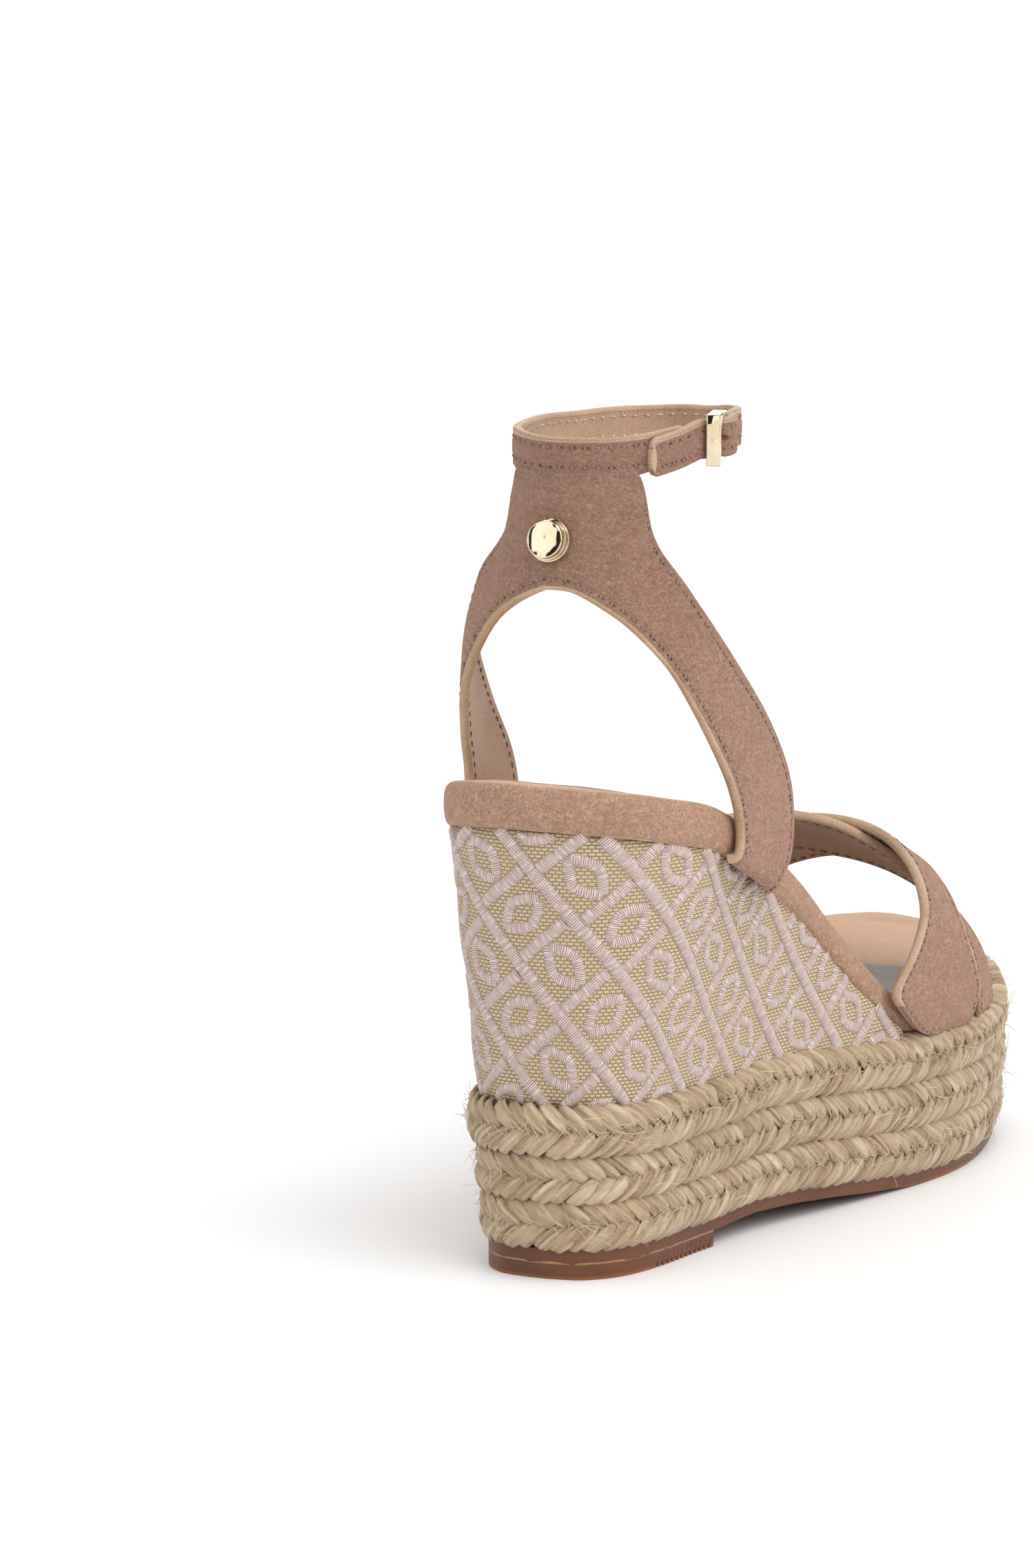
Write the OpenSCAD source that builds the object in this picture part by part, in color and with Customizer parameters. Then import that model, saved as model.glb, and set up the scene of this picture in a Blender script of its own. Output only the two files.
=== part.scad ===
/* [Sole] */
// Height of the heel lift under the outsole
lift_h = 3.7; // [3:0.1:3.7]
// Depth of the lift along the foot, from the heel centre forward
lift_front = 27; // [20:1:30]
// Thickness of the outsole
outsole_t = 3.2; // [2.5:0.1:3.2]
// Depth of each tread groove in the heel lift
groove_depth = 0.7; // [0.4:0.1:1.4]

/* [Braids] */
// How far each braid bulges past its own edges
braid_bulge = 1.8; // [0.8:0.1:2.2]
// Wall of the wrap between a braid and the platform core
braid_wall = 7; // [6.5:0.1:8]

/* [Wedge] */
// Thickness of the canvas round the wedge
canvas_t = 0.9; // [0.6:0.1:1.2]
// Width of the steel shank
shank_w = 12; // [8:1:16]
// Thickness of the steel shank
shank_t = 1.2; // [0.8:0.1:1.4]

/* [Footbed] */
// Thickness of the insole board
board_t = 1.8; // [1.2:0.1:2]
// Thickness of the suede over the footbed
wrap_t = 1.1; // [0.8:0.1:1.2]
// Thickness of the sock lining
sock_t = 0.8; // [0.6:0.1:1.2]

/* [Uppers] */
// Thickness of the suede
suede_t = 1.2; // [0.8:0.1:1.2]
// Thickness of the lining leather
lining_t = 0.8; // [0.6:0.1:0.8]
// Height of the ankle strap
strap_h = 8; // [7:0.5:8]

/* [Metal] */
// Diameter of the stud on the back of the counter
stud_d = 10.5; // [9:0.5:12]
// How far the stud stands out
stud_h = 4; // [3:0.5:5]
// Radius of the buckle's pivot bar
bar_r = 0.8; // [0.7:0.05:0.8]
// Radius of the prong
prong_r = 0.5; // [0.4:0.05:0.5]

/* [Hidden] */
$fn = 48;

suede = [0.80, 0.62, 0.53];
tan_leather = [0.82, 0.68, 0.55];
jute = [0.82, 0.73, 0.56];
rubber = [0.55, 0.34, 0.20];
gold = [0.88, 0.78, 0.55];
cork = [0.72, 0.55, 0.38];

// Outlines from the heel's tip to the toe's tip, right side then left side.
platform_right = [[2, -24], [12, -21.8], [19.8, -13.5], [24, 0], [26.2, 20], [29, 45],
    [37.5, 84], [43.5, 124], [40.5, 157], [31.5, 181], [16, 196], [-2, 201]];
platform_left = [[-2, -24], [-12, -21.8], [-19.8, -13.5], [-24, 0], [-25.2, 20], [-27, 45],
    [-34.5, 84], [-43, 124], [-42, 156], [-35, 179], [-22, 195], [-8, 201]];
wedge_foot_right = [[2, -20.5], [11, -18.4], [18, -11.5], [22.3, 1], [24.5, 20], [27.5, 45],
    [33, 70], [37.5, 90], [39, 101]];
wedge_foot_left = [[-2, -20.5], [-11, -18.4], [-18, -11.5], [-22.3, 1], [-23.5, 20], [-25.5, 45],
    [-30, 70], [-34.5, 90], [-36.5, 101]];
wedge_head_right = [[2, -25.5], [13.5, -23], [23.5, -14.5], [29.8, 2], [30.5, 20], [31, 45],
    [33.5, 70], [37, 90], [38.7, 101]];
wedge_head_left = [[-2, -25.5], [-13.5, -23], [-23.5, -14.5], [-29.8, 2], [-30, 20], [-29.6, 45],
    [-31, 70], [-34.2, 90], [-36.2, 101]];
footbed_right = [[2, -27], [14.5, -24.6], [25, -15.8], [31.3, 2], [31.8, 20], [32.2, 45],
    [34.2, 68], [37.3, 90], [39.4, 115], [38.8, 138], [35, 158], [27, 177], [14, 190], [-2, 195]];
footbed_left = [[-2, -27], [-14.5, -24.6], [-25, -15.8], [-31.3, 2], [-31.5, 20], [-31, 45],
    [-32, 68], [-34.8, 90], [-39, 115], [-39.4, 138], [-36.6, 158], [-30, 177], [-20, 190], [-8, 195]];

// Heights along the foot, as [y, height].
sole_rise = [[-30, 3.8], [30, 3.8], [45, 4.6], [60, 4.2], [75, 3.1], [90, 1.6], [105, 0.4],
    [120, 0], [135, 0], [150, 0.8], [165, 2.4], [185, 6.6], [205, 12]];
row_height = [[-30, 11], [125, 11], [165, 10.2], [205, 10]];
wedge_rise = [[-30, 104], [-24, 103], [-10, 100], [5, 96.5], [18, 92], [35, 83.5], [50, 75.3],
    [60, 68.5], [70, 60.7], [80, 52.8], [90, 45.8], [98, 40.8], [104, 37.5], [112, 36]];
footbed_depth = [[-30, 10.5], [35, 10.5], [60, 9.3], [90, 8], [125, 7], [165, 6.5], [200, 6]];
row_inset = [[0, 1.8, 2.7, 4.2], [0, 0.4, 0.8, 2.2]];

// Vamp arch along the foot, as [y, half width] and [y, height].
vamp_half = [[90, 38.9], [115, 41.4], [130, 42], [140, 41.4], [150, 39.7], [158, 37.4], [170, 33]];
vamp_height = [[95, 53], [115, 50], [130, 46], [145, 38.5], [156, 31.5], [170, 24]];
vamp_round = 0.93;
vamp_gap = 0.12;

// Strap edges along the vamp arch, as [angle, y at the rear edge, y at the front edge].
upper_edges = [[0, 97, 132], [12, 92, 136], [21, 103, 138.5], [29, 112.5, 140], [36, 118.5, 141],
    [48, 125, 143], [66, 130.5, 148.5], [90, 135.5, 156], [118, 138, 160], [150, 136, 160],
    [180, 132, 158]];
lower_edges = [[0, 140.5, 158], [14, 143.5, 158.5], [27, 143.5, 158], [40, 141, 157], [52, 138, 156],
    [66, 134, 154.5], [90, 127, 151], [110, 120, 145], [130, 111, 138], [152, 102, 131.5],
    [180, 97, 128]];

// Rungs of the counter from the lateral leg's foot to the back seam: front edge, arch edge.
counter_rungs = [
    [[34.7, 34, 83.8], [34.2, 16, 92.8]],
    [[34.7, 40.5, 90], [33.9, 15, 97]],
    [[34.9, 41.5, 100], [33.8, 14.2, 103.5]],
    [[35, 37.5, 111], [33, 11.8, 110.5]],
    [[34.6, 26, 125], [31.6, 7.2, 118.5]],
    [[31.6, 12, 141], [28.6, 1, 129.5]],
    [[25, 4, 156], [24, -3, 139]],
    [[17.4, 3, 167], [17.2, -7.2, 147.5]],
    [[13, 4.5, 180.5], [10.5, -9.4, 152.5]],
    [[7, -1.6, 180.5], [4, -9.9, 155.6]],
    [[-1.5, -3.8, 180.5], [-1.5, -10, 156]]];
counter_mid_x = -1.5;
counter_top_mid = [[140, 0.5], [170, 0], [183, counter_mid_x]];
counter_bow = 0.8;
counter_top = 180.5;

// Ankle loop seen from above, and the strap on it.
ankle_centre = [-1.5, 32];
ankle_half = [22, 35.5];
strap_z = 180.8;
strap_from = 64;
strap_to = -267;
// How far the strap stands above its height at the heel: [angle, lift].
strap_lift = [[-270, 2.2], [-250, 2], [-225, 1.2], [-190, -0.4], [-150, -0.9], [-100, -0.4], [-60, 0],
    [90, 0]];

// Buckle: the pivot bar's place and the frame's sizes.
bar_at = [22, 29];
frame_half_h = 5.85;
frame_rail = 1.5;
frame_depth = 2.6;
outer_bar_at = [24, 21.6];
outer_bar = 1.4;
loop_gap = 0.05;
loop_r = bar_r + 0.7;
prong_tip = [24.3, 22.9];
prong_half = 0.6;
slot_half = 0.9;
buckle_lift = 2.2;
strap_mid_z = strap_z + buckle_lift + strap_h / 2;
// Route of the punched end: under the frame's outer bar, over the pivot bar and on along the strap.
// [x, y] of its middle, and how far it is lifted.
tail_route = [[16, 5.6, -0.2], [17.6, 8.8, 0.2], [19.6, 13.5, 1], [20.6, 17.5, 1.7], [21, 21, 2.2],
    [21.9, 23.4, 2.2], [23.2, 25.6, 2.2], [24.2, 27.8, 2.2], [24.5, 30, 2.2], [24.2, 32.4, 2.2],
    [23.4, 34.6, 2.2], [22.6, 36.4, 2.2]];
tail_t = 1.6;

// How many outline points a side the sock lining follows from the heel's tip.
sock_stations = 30;

stud_z = 166;
stud_tilt = 14.2;
stud_y = -7.4;
rivet_r = 1.5;
rivet_gap = 0.05;
slack = 0.05;

// A smooth curve through points, n steps to a span.
function bend(a, b, c, d, t) = 0.5 * (2 * b + (c - a) * t + (2 * a - 5 * b + 4 * c - d) * t * t
    + (3 * b - a - 3 * c + d) * t * t * t);
function smooth(p, n) = [
    for (i = [0 : len(p) - 2], k = [0 : n - 1])
        bend(p[max(i - 1, 0)], p[i], p[i + 1], p[min(i + 2, len(p) - 1)], k / n),
    p[len(p) - 1]];
function unit(v) = v / norm(v);
function flip(list) = [for (i = [len(list) - 1 : -1 : 0]) list[i]];
function around(right, left, n) = concat(smooth(right, n), flip(smooth(left, n)));
// Moves a loop outwards by reach(y), given as a table.
function grow(loop, reach) = [
    for (i = [0 : len(loop) - 1])
        let (a = loop[(i + len(loop) - 1) % len(loop)], b = loop[(i + 1) % len(loop)],
            along = unit(b - a))
        loop[i] + lookup(loop[i].y, reach) * [along.y, -along.x]];
function even(d) = [[-100, d], [300, d]];
function heel_to_toe(heel, toe) = [[-30, heel], [20, heel], [110, toe], [300, toe]];
function rise(table, y) = lookup(y, table);

function outsole_top(y) = rise(sole_rise, y) + outsole_t;
function row_z(k, y) = outsole_top(y) + k * rise(row_height, y);
function platform_top(y) = row_z(3, y);
function footbed_z(y) = max(rise(smooth(wedge_rise, 3), y), platform_top(y));
function footbed_top(y) = footbed_z(y) + rise(footbed_depth, y);

platform_loop = around(platform_right, platform_left, 3);
sole_loop = grow(platform_loop, heel_to_toe(-row_inset[0][3], -row_inset[1][3]));
footbed_loop = around(footbed_right, footbed_left, 3);

// Closed solid through a stack of equal loops, each loop running up one side and down the other.
module skin(levels) {
    n = len(levels[0]);
    half = n / 2;
    top = (len(levels) - 1) * n;
    polyhedron(
        points = [for (level = levels) for (p = level) p],
        faces = concat(
            [for (k = [0 : len(levels) - 2], i = [0 : n - 1])
                let (a = k * n + i, b = k * n + (i + 1) % n) each [[a, b + n, b], [a, a + n, b + n]]],
            [for (i = [0 : half - 2])
                each [[i, i + 1, n - 2 - i], [i, n - 2 - i, n - 1 - i]]],
            [for (i = [0 : half - 2])
                each [[top + n - 2 - i, top + i + 1, top + i], [top + n - 1 - i, top + n - 2 - i, top + i]]]),
        convexity = 8);
}

// Closed ring: equal sections that follow each other round and meet again.
module hoop(sections) {
    m = len(sections);
    n = len(sections[0]);
    polyhedron(
        points = [for (s = sections) for (p = s) p],
        faces = [for (k = [0 : m - 1], i = [0 : n - 1])
            let (a = k * n + i, b = k * n + (i + 1) % n, c = ((k + 1) % m) * n + i,
                d = ((k + 1) % m) * n + (i + 1) % n)
            each [[a, b, d], [a, d, c]]],
        convexity = 8);
}

// Thick sheet on a grid of points, from lo to hi along the grid's own normal.
function slope(g, i, j) = cross(
    g[i][min(j + 1, len(g[0]) - 1)] - g[i][max(j - 1, 0)],
    g[min(i + 1, len(g) - 1)][j] - g[max(i - 1, 0)][j]);
function raised(g, i, j, d) = g[i][j] + d * unit(slope(g, i, j));
function sheet(g, lo, hi) = [
    for (i = [0 : len(g) - 1])
        concat([for (j = [0 : len(g[0]) - 1]) raised(g, i, j, hi)],
            [for (j = [len(g[0]) - 1 : -1 : 0]) raised(g, i, j, lo)])];

module heel_lift() {
    outline = [for (p = sole_loop) if (p.y < lift_front) p];
    color(rubber)
    difference() {
        linear_extrude(height = lift_h) polygon(outline);
        for (y = [1.5 : 2.1 : 24.7])
            translate([0, y, 0]) rotate([90, 0, 90]) linear_extrude(height = 70, center = true)
                polygon([[-0.6, -0.01], [0.6, -0.01], [0.3, groove_depth], [-0.3, groove_depth]]);
    }
}

module outsole() {
    color(rubber) skin([
        [for (p = sole_loop) [p.x, p.y, rise(sole_rise, p.y)]],
        [for (p = sole_loop) [p.x, p.y, outsole_top(p.y)]]]);
}

// One jute braid round the platform, row k from the bottom.
module braid(k) {
    outer = grow(platform_loop, heel_to_toe(-row_inset[0][2 - k], -row_inset[1][2 - k]));
    edge = grow(outer, even(-braid_bulge));
    shoulder = grow(outer, even(-braid_bulge * 0.35));
    inner = grow(platform_loop, even(-braid_wall));
    function at(p, t) = [p.x, p.y, row_z(k, p.y) + slack + t * (rise(row_height, p.y) - 2 * slack)];
    color(jute) hoop([
        for (i = [0 : len(outer) - 1])
            [at(inner[i], 0), at(inner[i], 1), at(edge[i], 1), at(shoulder[i], 0.82),
                at(outer[i], 0.5), at(shoulder[i], 0.18), at(edge[i], 0)]]);
}

module platform_core() {
    loop = grow(platform_loop, even(-braid_wall - slack));
    color(cork) skin([
        [for (p = loop) [p.x, p.y, outsole_top(p.y) + slack]],
        [for (p = loop) [p.x, p.y, platform_top(p.y) - slack]]]);
}

function wedge_loop(t, d) = [
    for (i = [0 : len(around(wedge_foot_right, wedge_foot_left, 3)) - 1])
        let (foot = grow(around(wedge_foot_right, wedge_foot_left, 3), even(d))[i],
            head = grow(around(wedge_head_right, wedge_head_left, 3), even(d))[i],
            low = platform_top(foot.y) + slack, high = footbed_z(head.y) - slack)
        [foot.x + t * (head.x - foot.x), foot.y + t * (head.y - foot.y), low + t * (high - low)]];

module shank_bar(grow_by) {
    stations = [for (y = [-8 : 8 : 88]) y];
    w = shank_w / 2 + grow_by;
    function strip(z) = concat([for (y = stations) [w, y, footbed_z(y) + z]],
        [for (y = flip(stations)) [-w, y, footbed_z(y) + z]]);
    skin([strip(-shank_t - slack - grow_by), strip(grow_by > 0 ? 3 : -slack)]);
}

module wedge_core() {
    color(cork) difference() {
        skin([wedge_loop(0, -canvas_t - slack), wedge_loop(1, -canvas_t - slack)]);
        shank_bar(0.1);
    }
}

module wedge_cover() {
    foot = wedge_loop(0, 0);
    head = wedge_loop(1, 0);
    foot_in = wedge_loop(0, -canvas_t);
    head_in = wedge_loop(1, -canvas_t);
    color([0.82, 0.76, 0.68]) hoop([
        for (i = [0 : len(foot) - 1]) [foot_in[i], head_in[i], head[i], foot[i]]]);
}

module shank() {
    color([0.6, 0.62, 0.65]) shank_bar(0);
}

// Layer of the footbed, set in from its outline by d, from lo above the wedge to the given top.
function footbed_level(d, z, under_top) = [
    for (p = grow(footbed_loop, even(-d)))
        [p.x, p.y, under_top ? footbed_top(p.y) - z : footbed_z(p.y) + z]];

module insole_board() {
    d = wrap_t + slack;
    color([0.75, 0.66, 0.52]) skin([footbed_level(d, slack, false), footbed_level(d, board_t, false)]);
}

module footbed_foam() {
    d = wrap_t + slack;
    color([0.93, 0.9, 0.82]) skin([
        footbed_level(d, board_t + slack, false), footbed_level(d, wrap_t + slack, true)]);
}

module footbed_cover() {
    color(suede) difference() {
        skin([footbed_level(0.8, 0, false), footbed_level(0, 1.2, false),
            footbed_level(0, 2, true), footbed_level(1, 0, true)]);
        skin([footbed_level(wrap_t, -2, false), footbed_level(wrap_t, wrap_t, true)]);
    }
}

module sock_lining() {
    inset = grow(footbed_loop, even(-5));
    outline = [for (i = [0 : len(inset) - 1])
        if (i < sock_stations || i >= len(inset) - sock_stations) inset[i]];
    function at(z) = [for (p = outline) [p.x, p.y, footbed_top(p.y) + z]];
    color([0.62, 0.57, 0.54]) skin([at(slack), at(slack + sock_t)]);
}

// Point on the vamp arch at an angle from the lateral side and a place y along the foot.
function vamp_point(angle, y) = [
    rise(vamp_half, y) * sign(cos(angle)) * pow(abs(cos(angle)), vamp_round), y,
    platform_top(y) + 0.15 + rise(vamp_height, y) * sin(angle)];
function vamp_grid(edges) = [
    for (e = smooth(edges, 3))
        [for (j = [0 : 7]) vamp_point(e[0], e[1] + (e[2] - e[1]) * j / 7)]];
// The upper strap lies over the lower one and comes down to the footbed at its ends.
function lifted(g, d) = [
    for (i = [0 : len(g) - 1])
        let (rise_i = d * min(1, 2.2 * sin(180 * i / (len(g) - 1))))
        [for (j = [0 : len(g[0]) - 1]) raised(g, i, j, rise_i)]];
upper_grid = lifted(vamp_grid(upper_edges), 2.4);
lower_grid = vamp_grid(lower_edges);

module vamp_strap_upper() {
    color(suede) skin(sheet(upper_grid, vamp_gap, suede_t));
}

module vamp_strap_upper_lining() {
    color(tan_leather) skin(sheet(upper_grid, -lining_t, 0));
}

module vamp_strap_lower() {
    color(suede) skin(sheet(lower_grid, vamp_gap, suede_t));
}

module vamp_strap_lower_lining() {
    color(tan_leather) skin(sheet(lower_grid, -lining_t, 0));
}

// The medial half of the counter mirrors the lateral one about a middle that shifts with height.
function over(p) = [2 * lookup(p.z, counter_top_mid) - p.x, p.y, p.z];
counter_all = concat(counter_rungs,
    [for (i = [len(counter_rungs) - 2 : -1 : 0]) [for (p = counter_rungs[i]) over(p)]]);
counter_front = [for (p = smooth([for (r = counter_all) r[0]], 3)) [p.x, p.y, min(p.z, counter_top)]];
counter_arch = smooth([for (r = counter_all) r[1]], 3);
function outward(p) = unit([p.x - counter_mid_x, 0.5 * (p.y - ankle_centre.y), 0]);
counter_grid = [
    for (i = [0 : len(counter_front) - 1])
        [for (j = [0 : 6])
            let (t = j / 6, p = counter_arch[i] + t * (counter_front[i] - counter_arch[i]))
            p + 4 * t * (1 - t) * counter_bow * outward(p)]];

module at_stud() {
    translate([counter_mid_x, stud_y, stud_z]) rotate([90 - stud_tilt, 0, 0]) children();
}

module heel_counter() {
    color(suede) difference() {
        skin(sheet(counter_grid, slack, suede_t));
        at_stud() cylinder(r = rivet_r + rivet_gap, h = 20, center = true);
    }
}

module heel_counter_lining() {
    color(tan_leather) difference() {
        skin(sheet(counter_grid, -lining_t, 0));
        at_stud() cylinder(r = rivet_r + rivet_gap, h = 20, center = true);
    }
}

module stud_cap() {
    r = stud_d / 2;
    color(gold) at_stud() translate([0, 0, suede_t + 1.3]) rotate_extrude() polygon([
        [0, 0], [r - 0.3, 0], [r, 0.3], [r, 1.3], [r - 0.5, 1.6], [r - 0.5, 2.4],
        [r - 0.9, 2.7], [r - 0.9, stud_h - 0.3], [r - 1.2, stud_h], [0, stud_h]]);
}

module stud_rivet() {
    inside = -lining_t - 1.2;
    color(gold) at_stud() {
        translate([0, 0, inside]) cylinder(r = rivet_r, h = suede_t + 1.25 - inside);
        translate([0, 0, inside - 0.6]) cylinder(r = 4, h = 0.65);
    }
}

function ankle_point(angle, z) = [ankle_centre.x + ankle_half.x * sin(angle),
    ankle_centre.y - ankle_half.y * cos(angle), z + lookup(angle, strap_lift)];
ankle_grid = [
    for (k = [0 : 48])
        let (angle = strap_from + (strap_to - strap_from) * k / 48)
        [for (j = [0 : 2]) ankle_point(angle, strap_z + strap_h * j / 2)]];

module ankle_strap() {
    color(suede) skin(sheet(ankle_grid, slack, suede_t));
}

module ankle_strap_lining() {
    color(tan_leather) skin(sheet(ankle_grid, -lining_t, 0));
}

// Leather fold that holds the buckle's pivot bar, with a gap for the prong's eye.
module buckle_loop() {
    color(suede) difference() {
        translate([0, 0, strap_mid_z - strap_h / 2]) linear_extrude(height = strap_h) union() {
            translate(bar_at) circle(r = loop_r);
            polygon([[20.7, 33.6], [21.9, 33.6], [bar_at.x + 1.4, bar_at.y + 0.3],
                [bar_at.x - 1.2, bar_at.y + 0.3]]);
        }
        translate([bar_at.x, bar_at.y, strap_z - 1]) cylinder(r = bar_r + loop_gap, h = strap_h + 6);
        translate([bar_at.x - 3, bar_at.y - 3, strap_mid_z - slot_half])
            cube([6, 5, 2 * slot_half]);
    }
}

module strap_tail() {
    route = smooth(tail_route, 3);
    grid = [for (p = route) [for (j = [0 : 2]) [p.x, p.y, strap_z + p.z + strap_h * j / 2]]];
    color(suede) difference() {
        skin(sheet(grid, -tail_t / 2, tail_t / 2));
        translate([15, 23.5, strap_mid_z - slot_half]) cube([15, 4.6, 2 * slot_half]);
    }
}

module buckle_frame() {
    dir = unit(outer_bar_at - bar_at);
    side = [dir.y, -dir.x] * frame_depth / 2;
    end = dir * outer_bar / 2;
    rail = [bar_at - side, bar_at + side, outer_bar_at + side + end, outer_bar_at - side + end];
    color(gold) {
        for (z = [-frame_half_h, frame_half_h - frame_rail])
            translate([0, 0, strap_mid_z + z]) linear_extrude(height = frame_rail)
                union() {
                    polygon(rail);
                    translate(bar_at) circle(r = frame_depth / 2);
                }
        translate([0, 0, strap_mid_z - frame_half_h]) linear_extrude(height = 2 * frame_half_h)
            polygon([outer_bar_at - side - end, outer_bar_at + side - end,
                outer_bar_at + side + end, outer_bar_at - side + end]);
        translate([bar_at.x, bar_at.y, strap_mid_z - frame_half_h + 0.5])
            cylinder(r = bar_r, h = 2 * frame_half_h - 1);
    }
}

module buckle_prong() {
    reach = prong_tip - bar_at;
    turn = atan2(reach.y, reach.x);
    color(gold) difference() {
        union() {
            translate([bar_at.x, bar_at.y, strap_mid_z - prong_half])
                cylinder(r = bar_r + 0.75, h = 2 * prong_half);
            translate([bar_at.x, bar_at.y, strap_mid_z]) rotate([0, 90, turn])
                translate([0, 0, 1.1]) cylinder(r = prong_r, h = norm(reach) - 1.1);
        }
        translate([bar_at.x, bar_at.y, strap_mid_z - 5]) cylinder(r = bar_r + loop_gap, h = 10);
    }
}

heel_lift();
outsole();
braid(0);  // braid_lower
braid(1);  // braid_middle
braid(2);  // braid_upper
platform_core();
wedge_core();
wedge_cover();
shank();
insole_board();
footbed_foam();
footbed_cover();
sock_lining();
vamp_strap_upper();
vamp_strap_upper_lining();
vamp_strap_lower();
vamp_strap_lower_lining();
heel_counter();
heel_counter_lining();
stud_cap();
stud_rivet();
ankle_strap();
ankle_strap_lining();
buckle_loop();
strap_tail();
buckle_frame();
buckle_prong();
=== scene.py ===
import math
import random

import bmesh
import bpy
import numpy as np
from mathutils import Matrix, Vector, noise
from mathutils.bvhtree import BVHTree


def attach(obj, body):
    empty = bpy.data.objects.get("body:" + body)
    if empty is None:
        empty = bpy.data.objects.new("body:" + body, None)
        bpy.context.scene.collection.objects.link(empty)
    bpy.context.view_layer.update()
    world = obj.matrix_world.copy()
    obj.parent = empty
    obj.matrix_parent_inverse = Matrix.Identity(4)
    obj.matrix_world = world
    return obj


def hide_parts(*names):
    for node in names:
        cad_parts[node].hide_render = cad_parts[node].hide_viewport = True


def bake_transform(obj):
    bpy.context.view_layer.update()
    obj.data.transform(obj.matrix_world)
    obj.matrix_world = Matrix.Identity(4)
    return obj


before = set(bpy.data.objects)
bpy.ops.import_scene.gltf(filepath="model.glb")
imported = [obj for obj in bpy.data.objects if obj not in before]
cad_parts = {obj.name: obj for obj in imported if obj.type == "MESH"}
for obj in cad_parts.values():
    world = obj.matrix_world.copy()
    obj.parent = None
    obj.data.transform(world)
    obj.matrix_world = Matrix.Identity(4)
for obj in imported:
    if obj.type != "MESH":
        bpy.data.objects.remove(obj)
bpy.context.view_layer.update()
mm = 0.001
chance = random.Random(11)


# ---- camera, light and floor

shot = {"turn": 25.0, "lift": 9.5, "distance": 2.0, "lens": 201.6, "right": -0.01303, "up": 0.10856}


def placeCamera():
    turn, lift = math.radians(shot["turn"]), math.radians(shot["lift"])
    ahead = Vector((-math.sin(turn) * math.cos(lift), math.cos(turn) * math.cos(lift), -math.sin(lift)))
    right = Vector((math.cos(turn), math.sin(turn), 0))
    above = right.cross(ahead)
    data = bpy.data.cameras.new("camera")
    data.lens = shot["lens"]
    data.sensor_width = 36
    data.clip_start, data.clip_end = 0.05, 60
    camera = bpy.data.objects.new("camera", data)
    bpy.context.scene.collection.objects.link(camera)
    place = ahead * -shot["distance"] + right * shot["right"] + above * shot["up"]
    camera.matrix_world = Matrix((
        (right.x, above.x, -ahead.x, place.x),
        (right.y, above.y, -ahead.y, place.y),
        (right.z, above.z, -ahead.z, place.z),
        (0, 0, 0, 1)))
    bpy.context.scene.camera = camera


studio = {"world": 0.95, "key": 1.3, "keyAngle": 70, "keyAim": (-0.8, 0.2, -0.9), "floorTone": 0.95,
          "sky": ((0.0, 0.06), (0.16, 0.12), (0.24, 0.85), (0.5, 1.08)),
          "cardScale": 0.42, "cardBend": 1.5, "cards": ((0.42, 0.03), (0.58, 1.5))}


def addSun(name, strength, angle, aim):
    data = bpy.data.lights.new(name, "SUN")
    data.energy = strength
    data.angle = math.radians(angle)
    lamp = bpy.data.objects.new(name, data)
    bpy.context.scene.collection.objects.link(lamp)
    lamp.rotation_euler = Vector(aim).to_track_quat("-Z", "Y").to_euler()
    return lamp


def lightStudio():
    bpy.context.scene.view_settings.view_transform = "Standard"
    world = bpy.data.worlds.new("studio")
    bpy.context.scene.world = world
    world.use_nodes = True
    tree = world.node_tree
    tree.nodes.clear()
    output = tree.nodes.new("ShaderNodeOutputWorld")
    back = tree.nodes.new("ShaderNodeBackground")
    back.inputs["Strength"].default_value = studio["world"]
    coordinate = tree.nodes.new("ShaderNodeTexCoord")
    split = tree.nodes.new("ShaderNodeSeparateXYZ")
    ramp = tree.nodes.new("ShaderNodeValToRGB")
    for position, level in studio["sky"]:
        element = ramp.color_ramp.elements.new(position) if 0 < position < 0.5 else \
            ramp.color_ramp.elements[0 if position == 0 else -1]
        element.position, element.color = position, (level, level, level, 1)
    # reflections see dark cards between bright ones; diffuse light sees an even sky
    cards = tree.nodes.new("ShaderNodeTexWave")
    cards.inputs["Scale"].default_value = studio["cardScale"]
    cards.inputs["Distortion"].default_value = studio["cardBend"]
    sharp = tree.nodes.new("ShaderNodeValToRGB")
    for element, (position, level) in zip(sharp.color_ramp.elements, studio["cards"]):
        element.position, element.color = position, (level, level, level, 1)
    path = tree.nodes.new("ShaderNodeLightPath")
    mix = tree.nodes.new("ShaderNodeMix")
    mix.data_type = "RGBA"
    tree.links.new(coordinate.outputs["Generated"], cards.inputs[0])
    tree.links.new(cards.outputs["Fac"], sharp.inputs[0])
    tree.links.new(path.outputs["Is Glossy Ray"], mix.inputs[0])
    tree.links.new(sharp.outputs[0], mix.inputs[7])
    tree.links.new(coordinate.outputs["Generated"], split.inputs[0])
    tree.links.new(split.outputs["Z"], ramp.inputs[0])
    tree.links.new(ramp.outputs[0], mix.inputs[6])
    tree.links.new(mix.outputs[2], back.inputs["Color"])
    tree.links.new(back.outputs[0], output.inputs[0])
    addSun("key", studio["key"], studio["keyAngle"], studio["keyAim"])


# ---- finishes

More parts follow.
